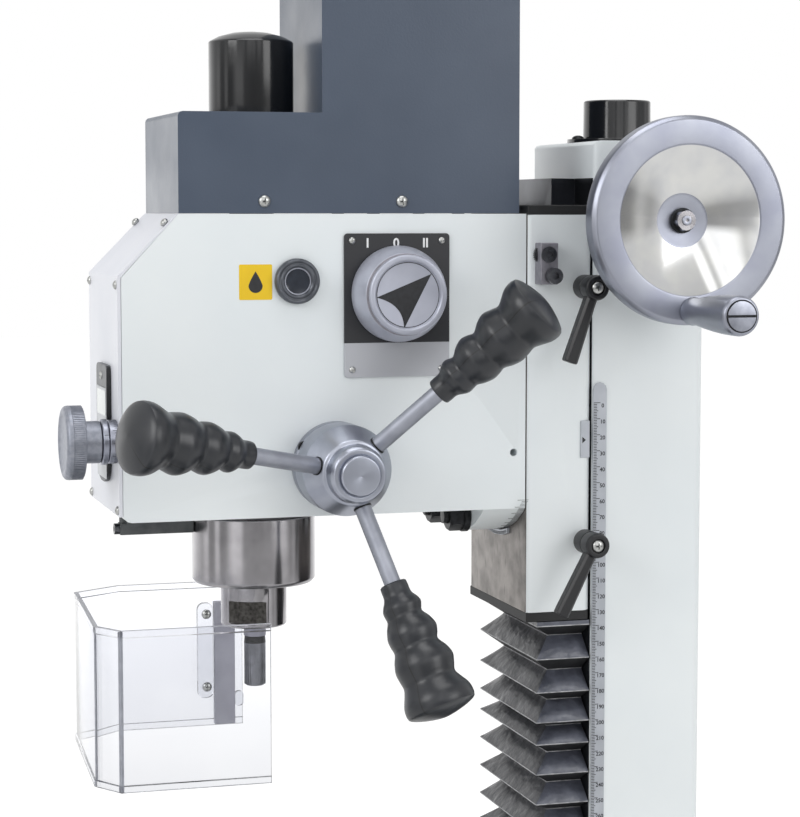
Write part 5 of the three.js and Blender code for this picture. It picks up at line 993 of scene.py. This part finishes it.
# Each band takes its finish by place: 1 a painted highlight along the folds and creases, 2 painted shade
# under each fold, 3 the sides' upward faces painted lighter.
for low, high, finish in zip(sheet_rows, sheet_rows[1:], finishes):
    for i in range(len(low) - 1):
        face = sheet.faces.new((low[i], low[i + 1], high[i + 1], high[i]))
        on_side = not side_steps <= i < side_steps + front_steps
        face.material_index = 3 if finish == 0 and on_side else finish
bellows = skinned(sheet, "bellows_cloth", cloth, 32)
for finish in (fold_highlight, cloth_shade, cloth_side_lit):
    bellows.data.materials.append(finish)
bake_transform(bellows)
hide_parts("bellows")


# Head: the tilting casting, enamelled, with the two bolts of its flange behind.
# Its front is closed by a painted sheet panel on six screws, with the depth display on it.
eased_copy("head_body", "head_casting", 0.8, enamel, "tilt_head")
# Powder coat: a cool white, a touch more matt than the enamel, with a fine peel.
panel_paint = made_of("white_powder_coat", "#d7d9e1", 0.4, ior=1.5, clouds=("#dadce3", "#d2d5dd", 60),
                      bumps=(1.4, 0.02))


def lip_down(shape):
    """Presses the sheet's upper lip down on the head, under the foot of the cover."""
    for corner in shape.verts:
        if corner.co.z / MM > ZERO + 117.2:
            corner.co.z = (ZERO + 117.03 + (corner.co.z / MM - ZERO - 117.2) * 0.05) * MM


eased_copy("front_sheet", "front_panel", 0.5, panel_paint, "tilt_head", adjust=lip_down)
panel_sizes = (2.7, 1.9, 1.3, 0.9)
panel_spots = [(x, -92.6, ZERO + z) for x in (-49, 49) for z in (75.5, -57.5)]
screws("panel_screws_front", panel_spots, pan_heads, panel_sizes, (0, -1, 0), zinc, "tilt_head")
slope_spots = [(x, -63.7, ZERO + 112.0) for x in (-49, 49)]
screws("panel_screws_slope", slope_spots, pan_heads, panel_sizes, (0, -0.735, 0.678), zinc, "tilt_head")
# Moulded housing: mid grey with a fine spark texture that dulls it.
display_grey = made_of("grey_display_housing", "#5b5d61", 0.45, ior=1.5, clouds=("#616367", "#525458", 10),
                       bumps=(0.8, 0.03))
# Display window: smooth and pale grey-green, as a liquid crystal is when switched off.
screen = made_of("display_window", "#c3cac8", 0.12, ior=1.49, clouds=("#c8cecc", "#b9c1bf", 12))
display = eased_copy("display_body", "depth_display", 0.5, display_grey, "tilt_head")
paint_faces(display, black_plastic, lambda at, normal: normal.x > 0.7 or normal.x < -0.7)
paint_faces(display, screen, lambda at, normal: normal.y < -0.9 and at.y > -95.3
            and -3.5 < at.z - ZERO < 13.5)
# Grey label film round the window: a quiet, even frame.
label_grey = made_of("pale_grey_label", "#b9bcc0", 0.4, ior=1.5, clouds=("#bec1c5", "#b0b3b8", 9))
prism("display_front", rounded_box((-6.8, ZERO - 41.4), (26.8, ZERO + 13.2), 0.8), -95.72, -95.5, label_grey,
      "tilt_head", axis="y")
prism("display_glass", rounded_box((-5.3, ZERO - 3.5), (25.3, ZERO + 11.5), 0.8), -95.8, -95.7, screen,
      "tilt_head", axis="y")
screws("display_screws", [(10, -95.6, ZERO + 20)], pan_heads, (2.4, 1.2, 1.3, 0.9), (0, -1, 0), zinc,
       "tilt_head")


# Motor cover: slate-grey painted steel over the belt and the motor, on screws along its foot.
# Inside stand the motor and the two pulleys with their belt.

# Slate-grey paint: blue-grey under a soft shine, with an orange peel 1.5 mm across.
slate = made_of("slate_grey_paint", "#424d5e", 0.34, ior=1.5, clouds=("#455061", "#3e495a", 70),
                bumps=(1.5, 0.045), wear=(40, 0.28, 0.38))


def foot_down(shape):
    """Lets the cover's foot down to the head."""
    for corner in shape.verts:
        if corner.co.z / MM < ZERO + 120:
            corner.co.z = (ZERO + 117.25) * MM


eased_copy("motor_hood", "motor_cover", 0.8, slate, "tilt_head", adjust=foot_down)
for side_name, side in (("right", 1), ("left", -1)):
    hood_spots = [(54 * side, y, ZERO + 124.4) for y in (-4.3, 80.6)]
    screws("hood_screws_" + side_name, hood_spots, pan_heads, (3.7, 2.2, 1.9, 1.1), (side, 0, 0), zinc,
           "tilt_head")
# Belt rubber: matt black with a fine grain.
belt_rubber = made_of("belt_rubber", "#1b1b1c", 0.65, clouds=("#1f1f20", "#151516", 6), bumps=(0.5, 0.02))
# Turned and ground steel: bright, its grooves draw the room's strips down the collar.
# The grooves are drawn 0.4 mm apart, coarser than real, so that they show.
turned_steel = made_of("turned_steel", "#a09ea1", 0.2, metallic=1.0, clouds=("#a6a4a7", "#939194", 20),
                       marks=(0.4, 0.003, 0.75))


def wrap_round(piece, axis, centre):
    """Gives a piece a map that runs round the axis and along it, for its turning marks."""
    along, across, up = directions(axis)
    middle = Vector(centre)
    mesh = piece.data
    layer = mesh.uv_layers.new(name="turning")
    for face in mesh.polygons:
        first = None
        for loop in face.loop_indices:
            arm = mesh.vertices[mesh.loops[loop].vertex_index].co / MM - middle
            turn = math.atan2(arm.dot(up), arm.dot(across)) / (2 * math.pi)
            first = turn if first is None else first
            turn += round(first - turn)
            layer.data[loop].uv = (turn, arm.dot(along) + math.hypot(arm.dot(across), arm.dot(up)))


def dress(node, axis, centre, finish):
    """Gives a CAD node that is shown as it is a map round an axis, and its material."""
    wrap_round(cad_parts[node], axis, centre)
    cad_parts[node].data.materials[0] = finish


dress("motor_pulley", "z", (0, 93, 0), satin_alloy)
dress("drive_sleeve", "z", (0, 0, 0), turned_steel)
dress("motor", "z", (0, 93, 0), slate)
dress("drive_belt", "z", (0, 0, 0), belt_rubber)


# Drawbar cap: a glossy black cap over the top of the drawbar, pressed on the motor cover.
# Below it the drawbar runs down through the drive sleeve and the spindle.
profile = [(22.5, 177.05), (26, 177.05), (26, 221), (25.2, 221.9), (20, 224.6), (12, 226.8), (5, 227.6),
           (0, 227.7), (0, 223), (22.5, 220), (22.5, 177.05)]
turned("drawbar_cover", "z", profile, (0, 0, ZERO), black_plastic, "tilt_head", 0.35, 112, node="drawbar_cap")
dress("drawbar", "z", (0, 0, 0), turned_steel)


# Speed selector: a printed plate, black above and bare aluminium below, with the range marks.
# The knob is moulded in silver grey, with a raised ring, a round face and a dark arrow on it.

# The printed plate: black print above, bare aluminium below, one faint grain over both.
plate_print, print_tree, print_surface = new_material("printed_speed_plate", "#232428", 0.36, ior=1.5)
print_place = add_node(print_tree, "ShaderNodeTexCoord").outputs["Object"]
print_height = add_node(print_tree, "ShaderNodeSeparateXYZ", {0: print_place}).outputs["Z"]
print_lower = maths(print_tree, "LESS_THAN", print_height, (ZERO + 39.5) * MM)
print_mixed = mix(print_tree, print_lower, linear("#25262a"), linear("#b9bbc1"), "RGBA")
print_tree.links.new(print_mixed, print_surface.inputs["Base Color"])
print_metal = maths(print_tree, "MULTIPLY", print_lower, 0.55)
print_tree.links.new(print_metal, print_surface.inputs["Metallic"])
grain(print_tree, print_surface, print_place, 0.6, 0.01)
speed_plate = prism("speed_plate_print", rounded_box((44.1, ZERO + 18.7), (110.2, ZERO + 105.3), 2.2), 54.02,
                    55.5, plate_print, "tilt_head", 0.25)
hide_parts("speed_plate")
plate_spots = [(55.5, y, ZERO + z) for z in (101, 23.4) for y in (49, 105.2)]
screws("speed_plate_screws", plate_spots, pan_heads, (2.1, 1.3, 0.9, 0.4), (1, 0, 0), zinc, "tilt_head")
# White print on the black plate: flat and slightly chalky.
white_ink = made_of("printed_white_ink", "#e6e7e8", 0.5, ior=1.5, clouds=("#e9eaeb", "#dcdddf", 3))
lettering("range_marks", [("I", -17.9, 0), ("0", 0, 0), ("II", 18.4, 0)], 7.8, (55.52, 76.5, ZERO + 99.3),
          white_ink, "tilt_head", 0.2)
# Silver-grey moulded plastic: the flakes in it give a soft metallic sheen.
silver = made_of("silver_moulded_plastic", "#afb2bf", 0.36, metallic=0.35, ior=1.5,
                 clouds=("#b4b7c4", "#a5a8b5", 25), bumps=(1.2, 0.01))
KNOB = (0, 77.1, ZERO + 69)
profile = [(0, 55.9), (28.2, 55.9), (29, 56.8), (29, 60), (28.4, 64.5), (26.6, 70), (24.9, 74.8),
           (22.3, 75.7), (22.1, 76.9), (23.9, 77.3), (23.9, 79.8), (23.1, 80.6), (20.8, 80.6), (19.9, 79.6),
           (19.6, 78.6), (0, 78.6)]
speed_knob = turned("speed_knob_body", "x", profile, KNOB, silver, "speed_selector", 0.35, 128,
                    node="speed_knob")
# The groove between the knob's cone and its ring is painted a darker grey, as shade.
paint_faces(speed_knob, block_steel_and_groove_shade, lambda at, normal: 75.2 < at.x < 77.2 and 21 < off_axis(at, KNOB) < 23.9)
profile = [(19.0, 78.5), (19.0, 78.66), (19.45, 78.66), (19.45, 78.5), (19.0, 78.5)]
turned("speed_knob_line", "x", profile, KNOB, ink, "speed_selector", 0.02, 128)
dart = [(91.6, 81.4), (57.6, 67.6)]
bend = list(zip((57.6, 67.6), (74.6, 63.6), (74.6, 48.8)))
for k in range(1, 13):
    t = k / 12
    dart.append(tuple(a * (1 - t) ** 2 + b * 2 * t * (1 - t) + c * t * t for a, b, c in bend))
prism("speed_arrow", [(y, ZERO + z) for y, z in dart], 78.55, 78.68, ink, "speed_selector")


# Sight plug and oil mark: a dark screwed ring with a glass in it, and a plain yellow label.
# The label carries a drop as a general sign for oil.

# Dark anodised ring: turned metal with a soft streak round it.
plug_ring = made_of("dark_anodised_ring", "#5b5e64", 0.34, metallic=0.8, clouds=("#63666c", "#4b4e54", 8),
                    marks=(0.5, 0.01, 0.5))
# Sight glass with dark oil behind it: almost black, with a sharp reflection.
sight_glass = made_of("dark_sight_glass", "#272c36", 0.08, ior=1.52, clouds=("#2c323d", "#1e222b", 9))
PLUG = (0, 15, ZERO + 77)
profile = [(0, 54.1), (13.6, 54.1), (13.6, 57.6), (12.6, 59), (11.6, 59), (11.2, 58.4), (10.4, 58.4),
           (10, 59), (9, 59), (8.1, 58), (8.1, 57), (0, 57)]
sight = turned("sight_plug_ring", "x", profile, PLUG, plug_ring, "tilt_head", 0.3, 96, node="sight_plug")
paint_faces(sight, sight_glass, lambda at, normal: 56 < at.x < 57.2 and off_axis(at, PLUG) < 8)
profile = [(7.4, 57), (7.4, 57.7), (8.2, 57.7), (8.2, 57), (7.4, 57)]
turned("sight_glass_edge", "x", profile, PLUG, satin_alloy, "tilt_head", 0.1, 96)
# Yellow label film: a strong flat yellow under a satin skin.
yellow = made_of("yellow_label_film", "#e6bf0a", 0.42, ior=1.5, clouds=("#e8c20c", "#e0b908", 20))
prism("oil_label", rounded_box((-20, ZERO + 66.1), (0.1, ZERO + 87.1), 0.8), 53.98, 54.12, yellow,
      "tilt_head")
drop = []
for k in range(40):
    across, up = math.cos(2 * math.pi * k / 40), math.sin(2 * math.pi * k / 40)
    narrowed, drawn_up = (1, 4.3) if up < 0 else ((1 - up) ** 0.6, 8.6)
    drop.append((-10 + 4.3 * across * narrowed, ZERO + 74.5 + drawn_up * up))
prism("oil_drop", drop, 54.1, 54.18, ink, "tilt_head")


# Quill feed: a turned hub on the pinion shaft, behind it the fixed flange, in it three arms
# with soft moulded grips. The worm wheel on the shaft is bronze; the shafts are ground steel.
FEED = Vector((0, 38.6, ZERO - 34.3))
profile = [(9, 54.05), (27, 54.05), (27, 61), (26.2, 61.9), (9, 61.9), (9, 54.05)]
turned("feed_flange_disc", "x", profile, FEED, satin_alloy, "tilt_head", 0.5, 112, node="feed_flange")
profile = [(0, 60), (3.6, 60), (3.6, 62.0), (3.2, 62.2), (1.9, 62.2), (1.9, 61), (0, 61)]
turned("flange_set_screw", "x", profile, (0, 17.4, ZERO - 21.8), oxide_and_painted_shade, "tilt_head", 0.2, 32)
# Satin chrome: cool grey, its highlight drawn round the turning.
hub_steel = made_of("satin_chromed_steel", "#a4a8b3", 0.32, metallic=1.0, clouds=("#a9adb8", "#9a9eaa", 25),
                    marks=(0.6, 0.003, 0.45))
hub_profile = [(9, 62.4), (26.2, 62.4), (27.2, 63.4), (27.2, 82.6), (26.5, 84), (19.4, 98.2), (17.5, 98.8),
               (17.1, 99.6), (17.1, 108.4), (15.4, 110.8), (12.7, 110.8), (12.3, 110.1), (11.9, 110.8),
               (11.9, 113.2), (11.2, 114), (0, 114), (0, 108), (9, 108), (9, 62.4)]
turned("feed_hub_body", "x", hub_profile, FEED, hub_steel, "feed_shaft", 0.8, 128, node="feed_hub")
# Satin nickel on the arms: pale grey and even, without a hard highlight.
arm_steel = made_of("satin_nickel_plate", "#9da0aa", 0.48, metallic=0.85, clouds=("#a2a5af", "#92959f", 12),
                    bumps=(0.7, 0.01))
prism("feed_tick", [(38.0, ZERO - 11.6), (38.6, ZERO - 11.6), (38.6, ZERO - 7.8), (38.0, ZERO - 7.8)], 61.9,
      61.98, ink, "tilt_head")
# Soft moulded grips: dark blue-grey with a faint sheen that handling has broken up, and a
# thin mould seam along two sides.
grip_rubber, grip_tree, grip_surface = new_material("soft_grey_rubber", "#2e3035", 0.38, ior=1.55)
grip_place = mottle(grip_tree, grip_surface, "#1e2127", "#191c21", 22)
grip_chart = add_node(grip_tree, "ShaderNodeUVMap", uv_map="turning")
grip_round = add_node(grip_tree, "ShaderNodeSeparateXYZ", {0: grip_chart.outputs[0]}).outputs["X"]
seam_side = maths(grip_tree, "PINGPONG", grip_round, 0.5)
seam_near = maths(grip_tree, "COMPARE", seam_side, 0.25, 0.003)
grip_cloud = grip_surface.inputs["Base Color"].links[0].from_socket
seam_mixed = mix(grip_tree, seam_near, grip_cloud, linear("#060607"), "RGBA")
grip_tree.links.new(seam_mixed, grip_surface.inputs["Base Color"])
grain(grip_tree, grip_surface, grip_place, 0.9, 0.02)
worn(grip_tree, grip_surface, grip_place, 10, 0.29, 0.38)
grip_line = [(55, 8.0), (58, 8.2), (61, 8.2), (63.6, 8.7), (66.8, 10.8), (69.8, 11.8), (72.8, 10.9),
             (75.5, 10.2), (80, 13.1), (85.5, 15.1), (90, 14.2), (94, 12.8), (99.5, 16), (105, 17.8),
             (110.5, 16.5), (115, 15.2), (119.3, 17.3), (123.4, 19.8), (127, 20.9), (130.8, 21.0),
             (132.6, 20.4), (133.8, 18.8), (135.8, 13.6), (137.4, 7.4), (138.2, 2.6), (138.4, 0)]
grip_crests = [(55, 8.0), (61, 8.2), (69.8, 11.8), (85.5, 15.1), (105, 17.8), (123.4, 19.8)] + grip_line[18:]


def along_line(points, place):
    """The height of a smooth line through points, at a place along it."""
    for k in range(len(points) - 1):
        if place <= points[k + 1][0]:
            break
    (a, ra), (b, rb) = points[k], points[k + 1]
    before, after = points[max(k - 1, 0)], points[min(k + 2, len(points) - 1)]
    lean_a = (rb - before[1]) / max(b - before[0], 1e-6) * (b - a)
    lean_b = (after[1] - ra) / max(after[0] - a, 1e-6) * (b - a)
    t = (place - a) / (b - a)
    rise = 3 * t ** 2 - 2 * t ** 3
    return ra * (1 - rise) + lean_a * (t ** 3 - 2 * t ** 2 + t) + rb * rise + lean_b * (t ** 3 - t ** 2)


for number, degrees in enumerate((45, 168, -73), 1):
    angle, lean = math.radians(degrees), math.radians(22)
    arm = Vector((math.sin(lean), math.cos(lean) * math.cos(angle), math.cos(lean) * math.sin(angle)))
    root = Vector((90.4, FEED.y + 16 * math.cos(angle), FEED.z + 16 * math.sin(angle)))
    profile = [(0, 0), (5, 0), (5, 104), (4, 105), (0, 105)]
    turned("feed_arm_%d" % number, arm, profile, root, arm_steel, "feed_shaft", 0.4, 48)
    # A thin black ring round each arm where it enters the hub: painted shade in the gap of its socket.
    profile = [(5.05, 2), (5.5, 2), (5.5, 6.9), (5.05, 6.9), (5.05, 2)]
    socket = turned("feed_arm_socket_%d" % number, arm, profile, root, oxide_and_painted_shade, "feed_shaft", 0.2, 48)
    places = [55, 55.6, 56.6, 58] + [58 + 1.25 * k for k in range(1, 59)]
    places += [132.6, 133.6, 134.6, 135.5, 136.3, 137.0, 137.6, 138.0, 138.3]
    skin = [(min(along_line(grip_line, t), 21.0) - (0.5 if t == 55 else 0.0), t) for t in places]
    outline = [(5.1, 55.2), (7.0, 55)] + skin + [(0, 138.4)]
    grip = turned("grip_%d" % number, arm, outline, root, grip_rubber, "feed_shaft", 0.01, 72, 40,
                  "feed_grip_%d" % number)
    finger = Vector((0, -math.sin(angle), math.cos(angle)))
    for vertex in grip.data.vertices:
        offset = vertex.co / MM - root
        t = offset.dot(arm)
        spoke = offset - arm * t
        if 62 < t < 124 and spoke.length > 1:
            fill = 0.4 * (0.5 - 0.5 * spoke.normalized().dot(finger))
            wanted = along_line(grip_line, t) * (1 - fill) + along_line(grip_crests, t) * fill
            vertex.co = (root + arm * t + spoke.normalized() * wanted) * MM
# Machined bronze: warm brown-yellow beside the steel, with turning lines.
bronze = made_of("machined_bronze", "#a8824f", 0.35, metallic=1.0, clouds=("#b08a55", "#8f6d40", 6),
                 marks=(0.4, 0.006, 0.4))
dress("worm_wheel", "x", FEED, bronze)
dress("pinion_shaft", "x", FEED, turned_steel)


# Fine feed: a knurled aluminium knob on the worm shaft in front, with a graduated ring on the
# head and a plain dial with an index line that turns beside it.
FINE = (44, 0, ZERO - 17)
profile = [(0, -102.4), (12.5, -102.4), (12.5, -111.8), (13.4, -112.6), (20.9, -112.6), (21.6, -113.3),
           (21.6, -119.8), (22.0, -120.3), (21.8, -122.6), (20.4, -124.0), (18.2, -124.4), (16.4, -123.6),
           (14.6, -123.2), (0, -123.2)]
turned("fine_feed_knob_body", "y", profile, FINE, knurled, "fine_feed", 0.8, 128, node="fine_feed_knob")
bars("fine_feed_knurl", (44, -120.0, ZERO - 17), 104, 21.6, (6.8, 6.8), 0.65, 0.6, 0.0, 360 / 104, (0, 1, 0),
     knurled, "fine_feed")
profile = [(6, -98.4), (13.2, -98.4), (13.6, -98.9), (13.6, -101.4), (13.1, -102.1), (6, -102.1), (6, -98.4)]
turned("fine_feed_dial_ring", "y", profile, FINE, satin_alloy, "fine_feed", 0.3, 96, node="fine_feed_dial")
profile = [(6, -92.65), (12.9, -92.65), (12.9, -97.5), (12.4, -98), (6, -98), (6, -92.65)]
turned("fine_feed_seat_ring", "y", profile, FINE, satin_alloy, "tilt_head", 0.3, 96, node="fine_feed_seat")
bars("fine_feed_ticks", (44, -92.7, ZERO - 17), 50, 12.92, (2.2, 3.4), 0.26, 0.08, 0.0, 7.2, (0, -1, 0), ink,
     "tilt_head", 5)
bars("fine_feed_index", (44, -98.5, ZERO - 17), 1, 13.62, (2.8, 2.8), 0.3, 0.1, 22.0, 0.0, (0, -1, 0), ink,
     "fine_feed")
dress("worm_shaft", "y", FINE, turned_steel)


# Quill and spindle: the quill is ground, its collar turned bright; the spindle nose is turned,
# with two rough milled flats, and its taper is ground. The depth rod hangs from the quill.
quill_barrel = eased_copy("quill_barrel", "quill", 0.4, turned_steel, "quill_slide")
shape = bmesh.new()
shape.from_mesh(quill_barrel.data)
spots = [(face, face.calc_center_median() / MM) for face in shape.faces]
collar_faces = [face for face, at in spots if math.hypot(at.x, at.y) > 31.4 and at.z < ZERO - 60]
bmesh.ops.delete(shape, geom=collar_faces, context="FACES")
shape.to_mesh(quill_barrel.data)
shape.free()
wrap_round(quill_barrel, "z", (0, 0, 0))
profile = [(31, -68), (37.6, -68), (38.4, -68.8), (38.4, -108), (36.4, -110.5), (21.4, -110.5), (21.4, -109),
           (31, -109), (31, -68)]
turned("quill_collar", "z", profile, (0, 0, ZERO), turned_steel, "quill_slide", 0.7, 160, node="quill")
nose = eased_copy("spindle_nose", "spindle", 0.5, turned_steel, "spindle_rotor")
# Rough milled flats: dark and dull beside the turned nose. The cutter's marks are drawn
# 1.2 mm across, coarser than real, so that they show.
milled = made_of("rough_milled_steel", "#4a4845", 0.55, metallic=0.8, clouds=("#5b5956", "#33312f", 2.2),
                 bumps=(1.2, 0.08))
wrap_round(nose, "z", (0, 0, 0))
paint_faces(nose, milled, lambda at, normal: ZERO - 135.5 < at.z < ZERO - 121 and abs(normal.z) < 0.3
            and 12 < math.hypot(at.x, at.y) < 19.8)
# Phosphated arm: matt grey with a green cast.
arm_grey = made_of("grey_green_phosphate", "#56595a", 0.5, metallic=0.4, clouds=("#5b5e5f", "#4b4e50", 6),
                   bumps=(0.8, 0.02))
eased_copy("depth_stop_arm", "depth_stop", 0.5, arm_grey, "quill_slide")
screws("depth_stop_bolt", [(0, -84, ZERO - 75.1)], cap_heads, (3.4, 3.2, 1.8, 1.8), (0, -1, 0), blued,
       "quill_slide")


# Chip guard: a clear acrylic screen with thicker rims, screwed to a grey bar by clear lugs.
# The bar hangs on an arm that turns about a post in the head and is set by a knurled knob.

# Clear acrylic: polished, seen only by its reflections and by what it bends.
acrylic = made_of("clear_acrylic", "#ecedf0", 0.01, ior=1.49, clouds=("#eeeff2", "#e9eaee", 60), clear=1.0)
guard_path = [(81.8, -8), (81.8, -97.5), (62, -109.5), (-62.5, -102.5), (-81.8, -72), (-81.8, 10)]


def swept(name, path, section, material, body, edge=0.0):
    """A section of (outward, up) points drawn along a path in plan, mitred at its corners."""
    rings = []
    for k, point in enumerate(path):
        normals = []
        for a, b in ((k - 1, k), (k, k + 1)):
            if a >= 0 and b < len(path):
                run = (Vector(path[b]) - Vector(path[a])).normalized()
                normals.append(Vector((-run.y, run.x)))
        mean = sum(normals, Vector((0, 0))).normalized()
        reach = 1 / max(mean.dot(normals[0]), 0.3)
        x, y = mean.x * reach, mean.y * reach
        rings.append([(point[0] + x * out, point[1] + y * out, ZERO + z) for out, z in section])
    return lofted(name, rings, material, body, edge)


guard_section = [(-2.2, -219), (0.9, -219), (0.9, -215.2), (0, -214.6), (0, -127.9), (0.7, -127.3),
                 (0.7, -123.5), (-2.2, -123.5)]
guard_screen = swept("guard_screen", guard_path, guard_section, acrylic, "guard", 0.25)
# Sawn acrylic edge: half clear and frosted, it draws the screen's pale outline. The same frosted strips stand
# at the screen's two bends as painted highlights.
rim_acrylic_and_bend_highlight = made_of("sawn_acrylic_edge_and_bend_highlight", "#c3c6d0", 0.35, ior=1.49, clouds=("#c9ccd6", "#b4b7c2", 5),
                      clear=0.6)
paint_faces(guard_screen, rim_acrylic_and_bend_highlight, lambda at, normal: abs(normal.z) > 0.9)
# Frosted strips down the two bends: painted highlights where the sheet turns.
prism("guard_side_bend_highlight", [(80.5, -98.7), (82.3, -98.0), (82.5, -96.2), (80.7, -96.2)], ZERO - 218.6,
      ZERO - 124, rim_acrylic_and_bend_highlight, "guard", axis="z")
prism("guard_front_bend_highlight", [(61.0, -109.7), (62.2, -109.8), (63.3, -109.2), (62.7, -108.0), (61.2, -108.3)],
      ZERO - 218.6, ZERO - 124, rim_acrylic_and_bend_highlight, "guard", axis="z")
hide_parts("chip_guard")
# Grey anodised bar: pale, faintly drawn along its length.
guard_grey = made_of("grey_anodised_bar", "#a3a3af", 0.42, metallic=0.3, clouds=("#a9a9b5", "#9898a4", 20),
                     bumps=(0.7, 0.012, (1, 1, 0.05)))
eased_copy("guard_bar", "guard_arm", 0.6, guard_grey, "guard")
prism("guard_lug_front", rounded_box((-21.0, ZERO - 199.5), (-10.3, ZERO - 136.5), 4.5), -77.9, -74.2,
      acrylic, "guard", 0.5)
prism("guard_lug_rear", rounded_box((3.8, ZERO - 206), (9.4, ZERO - 196), 2.4), -77.9, -74.2, acrylic,
      "guard", 0.5)
screws("guard_screws", [(-74.2, -15, ZERO - 144), (-74.2, -15, ZERO - 192)], pan_heads, (3.2, 2.0, 1.5, 1.0),
       (1, 0, 0), zinc, "guard")
# Knurled steel: dull mid grey between its teeth.
knob_grey = made_of("grey_knurled_steel", "#84868d", 0.4, metallic=0.7, clouds=("#8b8d94", "#72747b", 6))
guard_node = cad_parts["guard_knob"]
spots = [guard_node.matrix_world @ Vector(corner) / MM for corner in guard_node.bound_box]
knob_x, knob_y = (sum(spot[k] for spot in spots) / 8 for k in (0, 1))
knob_top, knob_low = max(spot.z for spot in spots), min(spot.z for spot in spots)
profile = [(0, knob_low), (5.8, knob_low), (6.5, knob_low + 0.8), (7.0, knob_top - 6), (7.2, knob_top - 4.6),
           (6.8, knob_top - 0.4), (0, knob_top)]
guard_turned = turned("guard_knob_body", "z", profile, (knob_x, knob_y, 0), knob_grey, "tilt_head", 0.3, 64,
                      node="guard_knob")
paint_faces(guard_turned, oxide_and_painted_shade, lambda at, normal: at.z > knob_top - 4.7)
tooth = knob_top - knob_low - 6.4
bars("guard_knurl", (knob_x, knob_y, knob_low + 0.9), 26, 6.6, (tooth, tooth), 0.75, 0.95, 0.0, 360 / 26,
     (0, 0, 1), knob_grey, "tilt_head")
eased_copy("guard_hinge_post", "guard_post", 0.5, guard_grey, "tilt_head")


# Cross table: the cross slide runs on the base's way, the work table on the cross slide.
# Both are cast iron, planed and ground on top; the cross slide's flanks are enamelled.

# Planed cast iron: dull grey with tool lines along the table, darker where oil stays.
planed = made_of("planed_cast_iron", "#707274", 0.42, metallic=0.85, clouds=("#777a7c", "#606264", 15),
                 bumps=(1.4, 0.05, (0.06, 1, 1)), wear=(25, 0.36, 0.5))
cross = eased_copy("cross_slide_casting", "cross_slide", 1.0, enamel, "cross_carriage")
paint_faces(cross, ground, lambda at, normal: normal.z > 0.9 or (abs(at.x) < 60 and at.z < 112
            and normal.z < 0.2))
work = eased_copy("work_table_casting", "table", 0.8, planed, "work_table")
paint_faces(work, ground, lambda at, normal: normal.z > 0.9 and at.z > 198)
dress("x_screw", "x", (0, 0, 149), turned_steel)
dress("y_screw", "y", (0, 0, 70), turned_steel)
dress("leadscrew", "z", (0, SCREW_Y, 0), turned_steel)
dress("crank_shaft", "x", CRANK, turned_steel)


# Table handwheels: turned aluminium with a polished dish and a black plastic handle each.
# They carry the two ends of the table screw and the front end of the cross screw.
def small_wheel(wheel, body, axis, out, axis_height, handle_height, handle_start):
    """One table handwheel: out is the way it faces, and its handle begins at handle_start."""
    piece = eased_copy(wheel + "_turned", wheel, 0.7, satin_alloy, body)
    wrap_round(piece, axis, (0, 0, axis_height))
    out = Vector(out)
    across = Vector((abs(out.y), abs(out.x), 0))

    def from_centre(at, height):
        return math.hypot(at.dot(across), at.z - height)

    def in_dish(at, normal):
        on_web = 14 < from_centre(at, axis_height) < 37 and at.dot(out) < handle_start - 0.3
        return on_web and normal.dot(out) > 0.5

    def on_handle(at, normal):
        return at.dot(out) > handle_start and from_centre(at, handle_height) < 9

    paint_faces(piece, polished, in_dish)
    paint_faces(piece, black_plastic, on_handle)


small_wheel("x_handwheel_right", "x_feed", "x", (1, 0, 0), 149, 110.25, 392.7)
small_wheel("x_handwheel_left", "x_feed", "x", (-1, 0, 0), 149, 187.75, 392.7)
small_wheel("y_handwheel", "y_feed", "y", (0, -1, 0), 70, 31.25, 276.7)

bpy.context.scene.view_settings.view_transform = "Standard"
